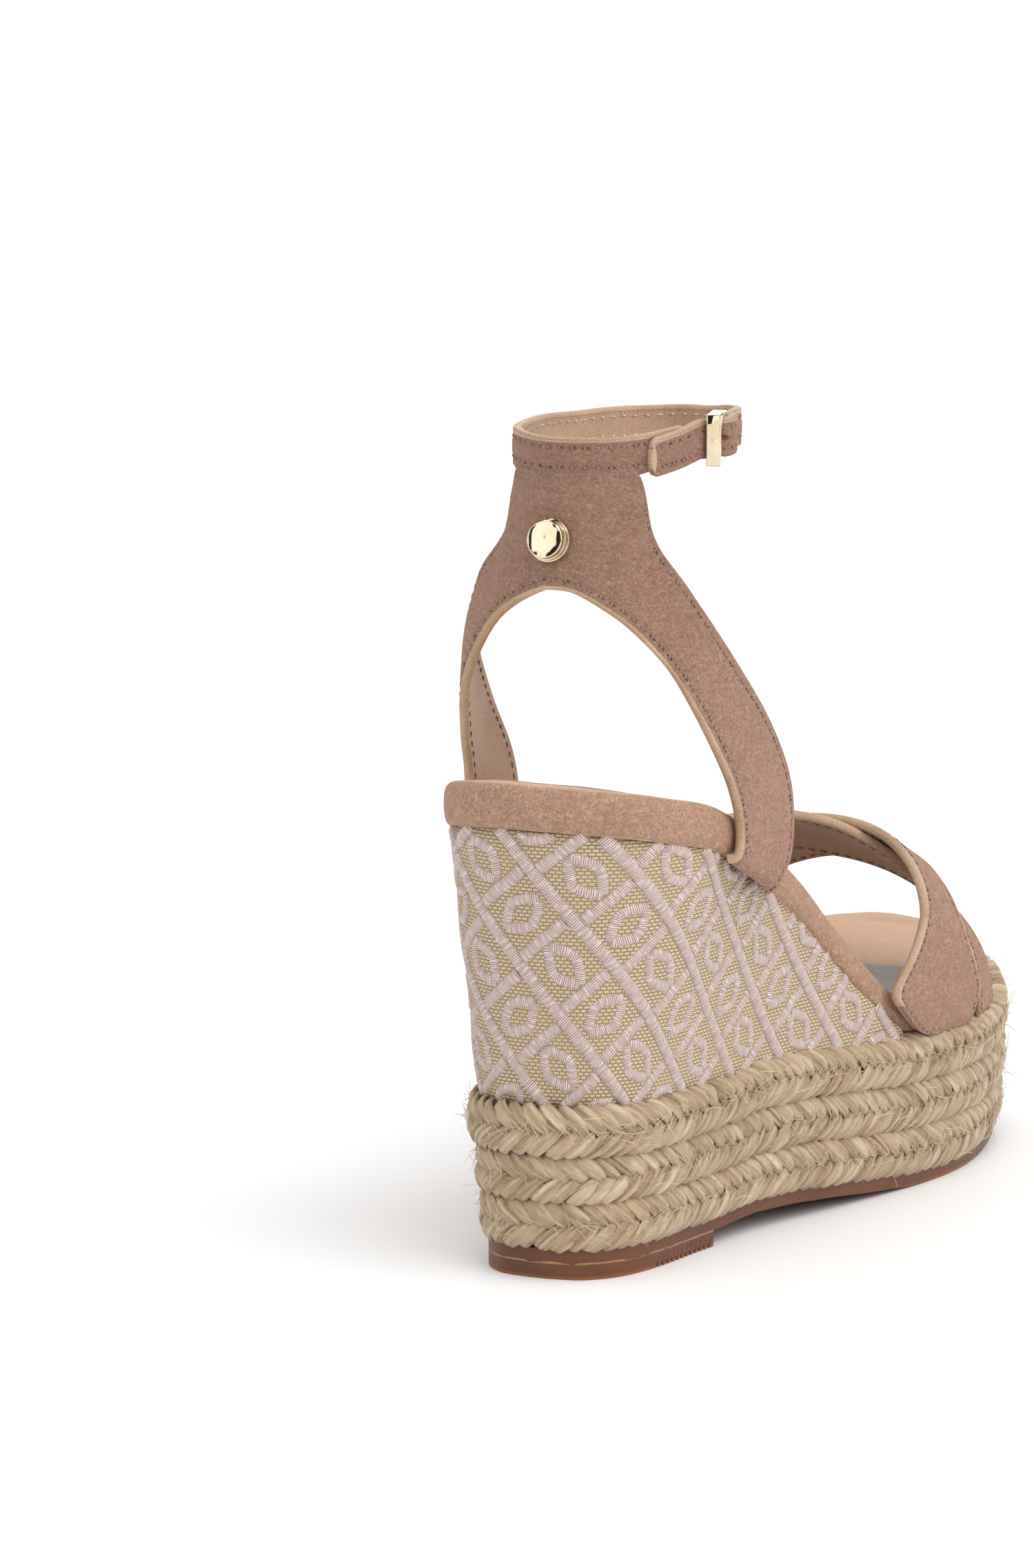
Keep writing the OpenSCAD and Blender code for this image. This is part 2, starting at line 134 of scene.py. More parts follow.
class Wire:  # a socket, so that sums on node values read as arithmetic
    def __init__(self, finish, socket):
        self.finish = finish
        self.socket = socket

    def maths(self, operation, first, second=None):
        values = {0: first} if second is None else {0: first, 1: second}
        return self.finish.node("ShaderNodeMath", {"operation": operation}, values)

    def __add__(self, other):
        return self.maths("ADD", self, other)

    def __sub__(self, other):
        return self.maths("SUBTRACT", self, other)

    def __rsub__(self, other):
        return self.maths("SUBTRACT", other, self)

    def __mul__(self, other):
        return self.maths("MULTIPLY", self, other)

    def __truediv__(self, other):
        return self.maths("DIVIDE", self, other)

    def __pow__(self, other):
        return self.maths("POWER", self, other)

    def __mod__(self, other):
        return self.maths("FLOORED_MODULO", self, other)

    def __abs__(self):
        return self.maths("ABSOLUTE", self)

    def floor(self):
        return self.maths("FLOOR", self)

    def fraction(self):
        return self.maths("FRACT", self)

    def sine(self):
        return self.maths("SINE", self)

    def between(self, low, high):  # 0 below low, 1 above high, smooth in between
        return self.finish.node("ShaderNodeMapRange", {"interpolation_type": "SMOOTHSTEP"},
                                {0: self, 1: low, 2: high})

    __radd__ = __add__


def tone(red, green, blue):  # a colour from its display values, 0 to 255
    def linear(value):
        share = value / 255
        return share / 12.92 if share <= 0.04045 else ((share + 0.055) / 1.055) ** 2.4
    return (linear(red), linear(green), linear(blue), 1)


class Finish:
    def __init__(self, name, **constants):
        self.material = bpy.data.materials.new(name)
        self.material.use_nodes = True
        self.tree = self.material.node_tree
        self.tree.nodes.clear()
        self.shader = self.tree.nodes.new("ShaderNodeBsdfPrincipled")
        output = self.tree.nodes.new("ShaderNodeOutputMaterial")
        self.tree.links.new(self.shader.outputs[0], output.inputs[0])
        for key, value in constants.items():
            self.shader.inputs[key.replace("_", " ")].default_value = value
        self.place = self.node("ShaderNodeTexCoord", output="Object")

    def node(self, kind, settings=None, values=None, output=0):
        made = self.tree.nodes.new(kind)
        for key, value in (settings or {}).items():
            if key == "stops":
                while len(made.color_ramp.elements) < len(value):
                    made.color_ramp.elements.new(0.5)
                for element, (position, colour) in zip(made.color_ramp.elements, value):
                    element.position, element.color = position, colour
            else:
                setattr(made, key, value)
        for key, value in (values or {}).items():
            if isinstance(value, Wire):
                self.tree.links.new(value.socket, made.inputs[key])
            else:
                made.inputs[key].default_value = value
        return Wire(self, made.outputs[output])

    def feed(self, name, wire):
        self.tree.links.new(wire.socket, self.shader.inputs[name])

    def cloud(self, scale, detail=2.0, roughness=0.5, place=None, distortion=0.0):
        return self.node("ShaderNodeTexNoise", None, {
            "Vector": place or self.place, "Scale": scale, "Detail": detail,
            "Roughness": roughness, "Distortion": distortion})

    def cells(self, scale, place=None, feature="F1"):
        return self.node("ShaderNodeTexVoronoi", {"feature": feature},
                         {"Vector": place or self.place, "Scale": scale})

    def stretched(self, scale, turn=(0, 0, 0), place=None):
        return self.node("ShaderNodeMapping", None, {
            "Vector": place or self.place, "Scale": scale, "Rotation": turn})

    def blend(self, share, first, second, kind="MIX"):
        return self.node("ShaderNodeMix", {"data_type": "RGBA", "blend_type": kind},
                         {0: share, 6: first, 7: second}, output=2)

    def ramp(self, value, stops):
        return self.node("ShaderNodeValToRGB", {"stops": stops}, {0: value})

    def own(self, name):
        return self.node("ShaderNodeAttribute", {"attribute_name": name}, output="Fac")

    def across(self):  # the piece's own map, in millimetres along and across
        split = self.node("ShaderNodeSeparateXYZ", None, {0: self.node("ShaderNodeTexCoord", output="UV")})
        return split, Wire(self, split.socket.node.outputs[1])

    def joined(self, first, second, third=0.0):
        return self.node("ShaderNodeCombineXYZ", None, {0: first, 1: second, 2: third})

    def bump(self, height, distance, strength=1.0):
        self.feed("Normal", self.node("ShaderNodeBump", None, {
            "Strength": strength, "Distance": distance, "Height": height}))


def suedeFinish(name, deep, body, pale, rose, shadeAbove=0.0, litTop=None):
    f = Finish(name, Roughness=0.88, Sheen_Weight=0.25, Sheen_Roughness=0.5,
               Sheen_Tint=tone(226, 190, 168), Specular_IOR_Level=0.2)
    drift = f.cloud(60, 3)
    strokes = f.cloud(430, 4, 0.6, f.stretched((1, 1, 2.0), (0.5, 0.35, 0.2)), 1.2)
    grain = f.cloud(1500, 3, 0.7, distortion=0.8)
    nap = f.cloud(3000, 2, 0.7)
    colour = f.blend(drift.between(0.38, 0.66), tone(*body), tone(*rose))
    colour = f.blend(strokes.between(0.52, 0.36) * 0.26, colour, tone(*deep))
    colour = f.blend(strokes.between(0.53, 0.7) * 0.36, colour, tone(*pale))
    colour = f.blend(grain.between(0.52, 0.34) * 0.42, colour, tone(*deep))
    colour = f.blend(grain.between(0.5, 0.68) * 0.4, colour, tone(*pale))
    colour = f.blend(nap.between(0.5, 0.34) * 0.35, colour, tone(*deep))
    if litTop:  # painted light: the side that faces up is painted paler, as if lit from above
        colour = f.blend(f.own("depth").between(0.8, 0.98) * 0.75, colour, tone(*litTop))
    if shadeAbove:
        height = f.node("ShaderNodeSeparateXYZ", None, {0: f.place}, output=2)
        colour = f.blend(height.between(shadeAbove - 0.03, shadeAbove + 0.03) * 0.3, colour, tone(*deep))
    f.feed("Base Color", colour)
    f.feed("Roughness", 0.8 + grain * 0.18)
    f.bump(strokes * 0.6 + grain * 0.7 + nap * 0.4, 0.00028)
    return f


def leatherFinish(name, body, dark, pale, roughness=0.5):
    f = Finish(name, Roughness=roughness, Specular_IOR_Level=0.45)
    drift = f.cloud(70, 3)
    pores = f.cells(1500, feature="DISTANCE_TO_EDGE")
    grain = f.cloud(900, 4, 0.6)
    colour = f.blend(drift.between(0.3, 0.7), tone(*body), tone(*pale))
    colour = f.blend(pores.between(0.12, 0.0) * 0.35, colour, tone(*dark))
    colour = f.blend(grain.between(0.45, 0.3) * 0.3, colour, tone(*dark))
    f.feed("Base Color", colour)
    f.feed("Roughness", roughness - 0.06 + grain * 0.14)
    f.bump(pores.between(0.0, 0.2) * 0.5 + grain, 0.00009)
    return f


def canvasFinish():
    f = Finish("canvasWeave", Roughness=0.9, Sheen_Weight=0.15, Specular_IOR_Level=0.2)
    along, up = f.across()
    row = up / 0.86
    odd = row.floor() % 2
    wobble = f.cloud(260, 2)
    bead = (along / 1.5 + odd * 0.5 + wobble * 0.25).fraction() * 2 - 1
    rib = row.fraction() * 2 - 1
    dome = (1 - abs(bead) ** 3.0) * (1 - abs(rib) ** 2.2)
    fuzz = f.cloud(3800, 2, 0.6)
    drift = f.cloud(60, 2)
    # painted shade: following the bead shape, the gaps between beads are painted dark and the bead tops
    # light
    colour = f.ramp(dome,
                    [(0.0, tone(128, 106, 74)), (0.25, tone(186, 160, 124)), (0.6, tone(213, 188, 154)),
                           (1.0, tone(224, 206, 174))])
    colour = f.blend(drift.between(0.35, 0.7) * 0.3, colour, tone(202, 178, 140))
    colour = f.blend(fuzz.between(0.5, 0.3) * 0.3, colour, tone(140, 120, 84))
    f.feed("Base Color", colour)
    f.bump(dome + fuzz * 0.15, 0.00032)
    return f


def embroideryFinish():
    f = Finish("satinThread", Roughness=0.42, Sheen_Weight=0.3, Sheen_Roughness=0.3,
               Sheen_Tint=tone(240, 225, 224), Specular_IOR_Level=0.6)
    along, side = f.across()
    lean = f.cloud(420, 2) * 0.5
    phase = (along + side * 0.2 + lean) / 0.5
    thread = abs(phase.fraction() * 2 - 1)
    number = phase.floor()
    lot = f.node("ShaderNodeTexWhiteNoise", {"noise_dimensions": "1D"}, {"W": number})
    streaks = f.cloud(1.0, 2, 0.6, f.joined(along * 1.5, side * 0.35))
    glint = f.cloud(900, 3, 0.6)
    edge = abs(side).between(0.72, 1.0)
    # painted shade and painted highlight: each thread is light along its crown and dark where it meets the
    # next
    colour = f.ramp(thread,
                    [(0.0, tone(230, 210, 202)), (0.5, tone(214, 190, 181)), (0.82, tone(184, 154, 143)),
                             (1.0, tone(132, 98, 88))])
    colour = f.blend(lot * 0.35, colour, tone(184, 154, 144))
    # painted highlight and painted shade: bright and dark streaks across the band stand in for the satin's
    # sheen
    colour = f.blend(streaks.between(0.5, 0.68) * 0.75, colour, tone(246, 236, 234))
    colour = f.blend(streaks.between(0.46, 0.3) * 0.4, colour, tone(160, 126, 114))
    colour = f.blend(glint.between(0.58, 0.75) * 0.4, colour, tone(240, 230, 230))
    # painted shade: the band is darker along both edges
    colour = f.blend(edge * 0.45, colour, tone(132, 98, 88))
    f.feed("Base Color", colour)
    f.feed("Roughness", 0.34 + lot * 0.25)
    f.bump((1 - thread ** 2.5) + glint * 0.3, 0.00016)
    return f


def juteFinish(name="juteStrand"):
    f = Finish(name, Roughness=0.72, Sheen_Weight=0.2, Specular_IOR_Level=0.35)
    along, round_ = f.across()
    lot = f.own("lot")
    depth = f.own("depth")
    lay = f.joined(along * 0.16 + lot * 31, round_ * 2.2 + along * 0.1, lot * 17)
    fibres = f.cloud(1.0, 3, 0.7, lay, 0.3)
    coarse = f.cloud(0.42, 2, 0.5, lay, 0.4)
    streak = f.own("streak")
    drift = f.cloud(45, 3)
    # streak is partly random tone and partly painted light on proud ridges
    colour = f.ramp(fibres * 0.55 + streak * 0.45, [
        (0.2, tone(96, 68, 42)), (0.34, tone(150, 121, 87)), (0.5, tone(183, 157, 124)),
        (0.64, tone(203, 181, 149)), (0.8, tone(228, 212, 186))])
    colour = f.blend(coarse.between(0.5, 0.32) * 0.45, colour, tone(140, 108, 74))
    colour = f.blend(lot.between(0.2, 1.0) * 0.22, colour, tone(208, 188, 158))
    colour = f.blend(drift.between(0.55, 0.8) * 0.4, colour, tone(166, 130, 90))
    # painted shade: where depth is low (strand undersides, tucked ends and the inner band) the jute is
    # painted dark brown
    colour = f.blend(depth.between(0.62, 0.1) * 0.9, colour, tone(72, 46, 26))
    f.feed("Base Color", colour)
    f.bump(fibres * 0.9 + coarse * 0.6, 0.00045)
    return f


def fibreFinish():
    f = Finish("looseFibre", Roughness=0.6, Specular_IOR_Level=0.4)
    lot = f.own("lot")
    shade = f.cloud(500, 2)
    colour = f.ramp(lot,
                    [(0.0, tone(172, 146, 108)), (0.5, tone(210, 190, 156)), (1.0, tone(236, 224, 200))])
    colour = f.blend(shade.between(0.5, 0.3) * 0.3, colour, tone(150, 124, 88))
    f.feed("Base Color", colour)
    return f


def rubberFinish():
    f = Finish("soleRubber", Roughness=0.45, Specular_IOR_Level=0.45, Coat_Weight=0.08)
    drift = f.cloud(60, 3)
    speck = f.cells(1300)
    smear = f.cloud(240, 4, 0.6, f.stretched((1, 1, 3)))
    height = f.node("ShaderNodeSeparateXYZ", None, {0: f.place}, output=2)
    ahead = f.node("ShaderNodeSeparateXYZ", None, {0: f.place}, output=1)
    colour = f.blend(drift.between(0.3, 0.7), tone(94, 52, 28), tone(110, 64, 34))
    colour = f.blend(smear.between(0.55, 0.75) * 0.4, colour, tone(128, 80, 46))
    colour = f.blend(speck.between(0.12, 0.02) * 0.35, colour, tone(170, 128, 90))
    colour = f.blend(height.between(0.0012, 0.0) * 0.7, colour, tone(164, 100, 46))
    seam = abs(height - 0.00375 - (smear - 0.5) * 0.0006).between(0.00026, 0.00008)
    colour = f.blend(seam * ahead.between(0.028, 0.027) * smear.between(0.3, 0.5), colour,
                     tone(196, 150, 104))
    f.feed("Base Color", colour)
    f.feed("Roughness", 0.4 + smear * 0.16)
    f.bump(smear + f.cloud(2600, 2) * 0.4, 0.00006)
    return f


def goldFinish():
    f = Finish("paleGold", Metallic=1.0, Roughness=0.1)
    scuff = f.cloud(1100, 3, 0.6, f.stretched((1, 1, 5), (0.3, 0.2, 0)))
    drift = f.cloud(120, 2)
    wavy = f.cloud(190, 1)
    f.feed("Base Color", f.blend(drift.between(0.3, 0.7), tone(234, 220, 194), tone(222, 202, 168)))
    f.feed("Roughness", 0.07 + scuff.between(0.5, 0.8) * 0.06)
    f.bump(wavy, 0.0009)
    return f


def stitchFinish(name, body, dark, pale):
    f = Finish(name, Roughness=0.55, Sheen_Weight=0.2, Specular_IOR_Level=0.4)
    along, side = f.across()
    ply = ((along * 1.6 + side * 1.0) * 3.14159).sine()
    lot = f.own("lot")
    # painted highlight and painted shade: the ply crowns are painted pale and the grooves between plies dark
    colour = f.ramp(ply, [(0.0, tone(*dark)), (0.5, tone(*body)), (1.0, tone(*pale))])
    colour = f.blend(lot * 0.45, colour, tone(*pale))
    f.feed("Base Color", colour)
    f.bump(ply, 0.00005)
    return f


def coreFinish(name, body, fleck, scale, metal=0.0, roughness=0.8):
    f = Finish(name, Metallic=metal, Roughness=roughness)
    specks = f.cells(scale)
    drift = f.cloud(scale / 6, 3)
    colour = f.blend(specks.between(0.2, 0.7), tone(*body), tone(*fleck))
    f.feed("Base Color", f.blend(drift.between(0.4, 0.7) * 0.3, colour, tone(*body)))
    f.bump(specks * 0.6 + drift, 0.0002)
    return f


# ---- outlines and heights, in millimetres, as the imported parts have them

platformRight = [[2, -24], [12, -21.8], [19.8, -13.5], [24, 0], [26.2, 20], [29, 45], [37.5, 84],
                 [43.5, 124], [40.5, 157], [31.5, 181], [16, 196], [-2, 201]]
platformLeft = [[-2, -24], [-12, -21.8], [-19.8, -13.5], [-24, 0], [-25.2, 20], [-27, 45], [-34.5, 84],
                [-43, 124], [-42, 156], [-35, 179], [-22, 195], [-8, 201]]
wedgeFootRight = [[2, -20.5], [11, -18.4], [18, -11.5], [22.3, 1], [24.5, 20], [27.5, 45], [33, 70],
                  [37.5, 90], [39, 101]]
wedgeFootLeft = [[-2, -20.5], [-11, -18.4], [-18, -11.5], [-22.3, 1], [-23.5, 20], [-25.5, 45], [-30, 70],
                 [-34.5, 90], [-36.5, 101]]
wedgeHeadRight = [[2, -25.5], [13.5, -23], [23.5, -14.5], [29.8, 2], [30.5, 20], [31, 45], [33.5, 70],
                  [37, 90], [38.7, 101]]
wedgeHeadLeft = [[-2, -25.5], [-13.5, -23], [-23.5, -14.5], [-29.8, 2], [-30, 20], [-29.6, 45], [-31, 70],
                 [-34.2, 90], [-36.2, 101]]
footbedRight = [[2, -27], [14.5, -24.6], [25, -15.8], [31.3, 2], [31.8, 20], [32.2, 45], [34.2, 68],
                [37.3, 90], [39.4, 115], [38.8, 138], [35, 158], [27, 177], [14, 190], [-2, 195]]
footbedLeft = [[-2, -27], [-14.5, -24.6], [-25, -15.8], [-31.3, 2], [-31.5, 20], [-31, 45], [-32, 68],
               [-34.8, 90], [-39, 115], [-39.4, 138], [-36.6, 158], [-30, 177], [-20, 190], [-8, 195]]
soleRise = [[-30, 3.8], [30, 3.8], [45, 4.6], [60, 4.2], [75, 3.1], [90, 1.6], [105, 0.4], [120, 0],
            [135, 0], [150, 0.8], [165, 2.4], [185, 6.6], [205, 12]]
rowHeight = [[-30, 11], [125, 11], [165, 10.2], [205, 10]]
wedgeRise = [[-30, 104], [-24, 103], [-10, 100], [5, 96.5], [18, 92], [35, 83.5], [50, 75.3], [60, 68.5],
             [70, 60.7], [80, 52.8], [90, 45.8], [98, 40.8], [104, 37.5], [112, 36]]
footbedDepth = [[-30, 10.5], [35, 10.5], [60, 9.3], [90, 8], [125, 7], [165, 6.5], [200, 6]]
rowInset = [[0, 1.8, 2.7, 4.2], [0, 0.4, 0.8, 2.2]]
outsoleThick = 3.2


def smoothLine(points, steps):  # a smooth curve through the points
    p = np.array(points, float)
    line = []
    for i in range(len(p) - 1):
        a, b, c, d = p[max(i - 1, 0)], p[i], p[i + 1], p[min(i + 2, len(p) - 1)]
        for k in range(steps):
            t = k / steps
            line.append(0.5 * (2 * b + (c - a) * t + (2 * a - 5 * b + 4 * c - d) * t * t
                               + (3 * b - a - 3 * c + d) * t ** 3))
    line.append(p[-1])
    return np.array(line)


def heightAt(table, y):
    table = np.array(table, float)
    return np.interp(y, table[:, 0], table[:, 1])


def loopAround(right, left, steps):
    return np.concatenate([smoothLine(right, steps), smoothLine(left, steps)[::-1]])


def unit(v):
    return v / np.maximum(np.linalg.norm(v, axis=-1, keepdims=True), 1e-9)


def grown(loop, reach):  # the loop moved outwards
    along = unit(np.roll(loop, -1, 0) - np.roll(loop, 1, 0))
    return loop + np.array([along[:, 1], -along[:, 0]]).T * np.reshape(reach, (-1, 1))


def heelToToe(y, heel, toe):
    return np.interp(y, [20, 110], [heel, toe])


def outsoleTop(y):
    return heightAt(soleRise, y) + outsoleThick


def rowFloor(k, y):
    return outsoleTop(y) + k * heightAt(rowHeight, y)


def platformTop(y):
    return rowFloor(3, y)


wedgeLine = smoothLine(wedgeRise, 3)


def footbedFloor(y):
    return np.maximum(np.interp(y, wedgeLine[:, 0], wedgeLine[:, 1]), platformTop(y))


def footbedTop(y):
    return footbedFloor(y) + heightAt(footbedDepth, y)


def lengths(line):
    return np.concatenate([[0], np.cumsum(np.linalg.norm(np.diff(line, axis=0), axis=1))])


def evenly(line, count, closed=False):
    if closed:
        line = np.concatenate([line, line[:1]])
    run = lengths(line)
    at = np.linspace(0, run[-1], count, endpoint=not closed)
    return np.stack([np.interp(at, run, line[:, k]) for k in range(line.shape[1])], 1)


# ---- mesh building

class Batch:  # gathers grids into one mesh
    def __init__(self):
        self.points, self.faces, self.maps = [], [], []
        self.lots, self.depths, self.streaks = [], [], []
        self.count = 0

    def grid(self, points, maps=None, lot=0.5, depth=1.0, streak=0.5, wrapRows=False, wrapColumns=False,
             caps=False):
        rows, columns = points.shape[:2]
        if maps is None:
            maps = np.zeros((rows + 1, columns + 1, 2))
        start = self.count
        for i in range(rows if wrapRows else rows - 1):
            k = (i + 1) % rows
            for j in range(columns if wrapColumns else columns - 1):
                m = (j + 1) % columns
                self.faces.append((start + i * columns + j, start + i * columns + m,
                                   start + k * columns + m, start + k * columns + j))
                self.maps.extend((maps[i, j], maps[i, j + 1], maps[i + 1, j + 1], maps[i + 1, j]))
        if caps:
            for base, row in ((start, 0), (start + (rows - 1) * columns, rows - 1)):
                for j in range(columns // 2 - 1):
                    ring = (j, j + 1, columns - 2 - j, columns - 1 - j)
                    self.faces.append(tuple(base + r for r in ring))
                    self.maps.extend(maps[row, r] for r in ring)
        self.points.append(points.reshape(-1, 3))
        self.lots.append(np.broadcast_to(lot, (rows, columns)).reshape(-1))
        self.depths.append(np.broadcast_to(depth, (rows, columns)).reshape(-1))
        self.streaks.append(np.broadcast_to(streak, (rows, columns)).reshape(-1))
        self.count += rows * columns

    def piece(self, name, finish, recalculate=True):
        mesh = bpy.data.meshes.new(name)
        mesh.from_pydata((np.concatenate(self.points) * mm).tolist(), [], self.faces)
        layer = mesh.uv_layers.new(name="map")
        layer.data.foreach_set("uv", np.array(self.maps, np.float32).ravel())
        for key, values in (("lot", self.lots), ("depth", self.depths), ("streak", self.streaks)):
            attribute = mesh.attributes.new(key, "FLOAT", "POINT")
            attribute.data.foreach_set("value", np.concatenate(values).astype(np.float32))
        if recalculate:
            work = bmesh.new()
            work.from_mesh(mesh)
            bmesh.ops.recalc_face_normals(work, faces=work.faces)
            work.to_mesh(mesh)
            work.free()
        mesh.polygons.foreach_set("use_smooth", [True] * len(mesh.polygons))
        mesh.update()
        made = bpy.data.objects.new(name, mesh)
        bpy.context.scene.collection.objects.link(made)
        made.data.materials.append(finish.material)
        return made


def settle(piece, body, nodes=()):
    if body == "legs":
        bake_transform(piece)
    else:
        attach(piece, body)
    if nodes:
        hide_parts(*nodes)
    return piece


def gridNormals(grid):
    across = np.empty_like(grid)
    across[:, 1:-1] = grid[:, 2:] - grid[:, :-2]
    across[:, 0], across[:, -1] = grid[:, 1] - grid[:, 0], grid[:, -1] - grid[:, -2]
    along = np.empty_like(grid)
    along[1:-1] = grid[2:] - grid[:-2]
    along[0], along[-1] = grid[1] - grid[0], grid[-1] - grid[-2]
    return unit(np.cross(across, along))


def sampledRow(row, at):  # points of a row at distances along it
    run = lengths(row)
    return np.stack([np.interp(at, run, row[:, k]) for k in range(3)], 1)


def regrid(grid, edge, middle):  # columns close together near both edges, for rolled edges and sewn channels
    made = []
    for row in grid:
        total = lengths(row)[-1]
        edgeHere = np.array(edge) * min(1, 0.46 * total / edge[-1])
        inner = np.linspace(edgeHere[-1], total - edgeHere[-1], middle + 2)[1:-1]
        made.append(sampledRow(row, np.concatenate([edgeHere, inner, (total - edgeHere)[::-1]])))
    return np.array(made)


def mapFor(ring, wrap=True):  # a map in millimetres for rings of points
    middle = ring.mean(1)
    run = lengths(middle)
    closed = np.concatenate([ring, ring[:, :1]], 1) if wrap else ring
    steps = np.linalg.norm(np.diff(closed, axis=1), axis=2).mean(0)
    side = np.concatenate([[0], np.cumsum(steps)])
    return np.stack(np.meshgrid(run, side, indexing="ij"), -1)


def thickSheet(batch, grid, low, high, rim=0.35, relief=None):
    normal = gridNormals(grid)
    top = grid + normal * (high if relief is None else (high + relief)[..., None])
    bottom = grid + normal * low
    thick = high - low
    sides = []
    for edge, inner in ((-1, -2), (0, 1)):
        away = unit(grid[:, edge] - grid[:, inner])
        for share, reach in ((0.82, 0.6), (0.5, 1.0), (0.18, 0.6)):
            climb = (top[:, edge] - bottom[:, edge]) * share
            sides.append(bottom[:, edge] + climb + away * rim * reach * min(1, thick))
    first = np.stack(sides[:3], 1)
    last = np.stack(sides[3:], 1)[:, ::-1]
    ring = np.concatenate([top, first, bottom[:, ::-1], last], 1)
    batch.grid(ring, mapFor(ring), wrapColumns=True, caps=True)
    return top, normal


def insetLine(grid, distance, fromEnd=False):
    rows = grid[:, ::-1] if fromEnd else grid
    return np.array([sampledRow(row, [distance])[0] for row in rows])


def normalLine(normal, grid, distance, fromEnd=False):
    rows, other = (grid[:, ::-1], normal[:, ::-1]) if fromEnd else (grid, normal)
    picked = []
    for row, n in zip(rows, other):
        run = lengths(row)
        picked.append([np.interp(distance, run, n[:, k]) for k in range(3)])
    return unit(np.array(picked))


def edgeBead(batch, grid, low, high, width, fromEnd=False, proud=0.3, past=0.45):
    normal = gridNormals(grid)
    rows = grid[:, ::-1] if fromEnd else grid
    edge = rows[:, 0]
    inward = unit(insetLine(grid, width, fromEnd) - edge)
    up = normal[:, -1] if fromEnd else normal[:, 0]
    middle = (low + high) / 2
    shape = [(width, high - 0.1), (width - 0.04, high + proud * 0.6), (width * 0.62, high + proud),
             (0.1, high + proud * 0.85), (-past * 0.7, high - 0.05), (-past, middle),
             (-past * 0.7, low + 0.1), (0.1, low - proud * 0.7), (width * 0.62, low - proud * 0.9),
             (width - 0.04, low - proud * 0.5), (width, low + 0.1), (width * 0.9, middle)]
    ring = np.stack([edge + inward * a + up * h for a, h in shape], 1)
    batch.grid(ring, mapFor(ring), wrapColumns=True, caps=True)


def tube(batch, line, radius, sides, up=None, lot=0.5, flat=1.0):
    line = np.asarray(line)
    along = np.gradient(line, axis=0)
    along = unit(along)
    up = np.broadcast_to(np.array([0.12, 0.3, 0.95]) if up is None else up, line.shape)
    side = unit(np.cross(along, up))
    over = np.cross(side, along)
    radius = np.broadcast_to(radius, (len(line),))
    turns = np.arange(sides) / sides * 2 * math.pi
    ring = (line[:, None] + side[:, None] * (np.cos(turns)[None, :, None] * radius[:, None, None])
            + over[:, None] * (np.sin(turns)[None, :, None] * radius[:, None, None] * flat))
    run = lengths(line)
    maps = np.stack(np.meshgrid(run, np.arange(sides + 1) / sides, indexing="ij"), -1)
    batch.grid(ring, maps, lot=lot, wrapColumns=True, caps=True)


def stitchRow(batch, line, normal, length=2.1, gap=0.85, radius=0.24, lift=0.12, closed=False):
    run = lengths(line)
    start = gap
    while start + length < run[-1] - (0 if closed else gap):
        at = start + np.array([0, 0.16, 0.5, 0.84, 1]) * length
        points = np.stack([np.interp(at, run, line[:, k]) for k in range(3)], 1)
        ups = unit(np.stack([np.interp(at, run, normal[:, k]) for k in range(3)], 1))
        height = np.array([-0.34, 0.02, lift, 0.02, -0.34])
        sway = chance.uniform(-0.06, 0.06)
        side = unit(np.cross(points[-1] - points[0], ups[2]))
        points = points + ups * height[:, None] + side * sway
        tube(batch, points, radius * np.array([0.55, 0.95, 1.0, 0.95, 0.55]), 6, ups, lot=chance.random())
        start += length + gap


# ---- hard pieces, from primitives shaped in edit mode

def deselect():
    if bpy.context.mode != "OBJECT":
        bpy.ops.object.mode_set(mode="OBJECT")
    bpy.ops.object.select_all(action="DESELECT")


def choose(*pieces):  # selects the pieces, the last one active
    deselect()
    for piece in pieces:
        piece.select_set(True)
    bpy.context.view_layer.objects.active = pieces[-1]


def finishHard(piece, name, finish, bevelWidth=0.0, segments=2, limit=35, smoothAngle=40):
    deselect()
    piece.select_set(True)
    bpy.context.view_layer.objects.active = piece
    piece.name = name
    if bevelWidth:
        bevel = piece.modifiers.new("edges", "BEVEL")
        bevel.width = bevelWidth * mm
        bevel.segments = segments
        bevel.limit_method = "ANGLE"
        bevel.angle_limit = math.radians(limit)
        bpy.ops.object.modifier_apply(modifier="edges")
    bpy.ops.object.shade_smooth_by_angle(angle=math.radians(smoothAngle))
    piece.data.materials.clear()
    piece.data.materials.append(finish.material)
    return piece


def slab(name, right, left, columns, low, high, finish, bevelWidth):
    rows = len(right)
    deselect()
    bpy.ops.mesh.primitive_grid_add(x_subdivisions=columns, y_subdivisions=rows - 1, size=1)
    piece = bpy.context.active_object
    share = np.arange(columns + 1) / columns
    plan = left[:, None, :] + (right - left)[:, None, :] * share[None, :, None]
    flat = np.concatenate([plan, low(plan[..., 1], plan[..., 0])[..., None]], -1).reshape(-1, 3) * mm
    piece.data.vertices.foreach_set("co", flat.ravel())
    bpy.ops.object.mode_set(mode="EDIT")
    bpy.ops.mesh.select_all(action="SELECT")
    bpy.ops.mesh.extrude_region_move(TRANSFORM_OT_translate={"value": (0, 0, 0.001)})
    bpy.ops.object.mode_set(mode="OBJECT")
    for v in piece.data.vertices:
        if v.select:
            v.co.z = high(v.co.y / mm) * mm
    bpy.ops.object.mode_set(mode="EDIT")
    bpy.ops.mesh.select_all(action="SELECT")
    bpy.ops.mesh.normals_make_consistent(inside=False)
    bpy.ops.object.mode_set(mode="OBJECT")
    return finishHard(piece, name, finish, bevelWidth, 3, 50)


placeCamera()
lightStudio()
deselect()

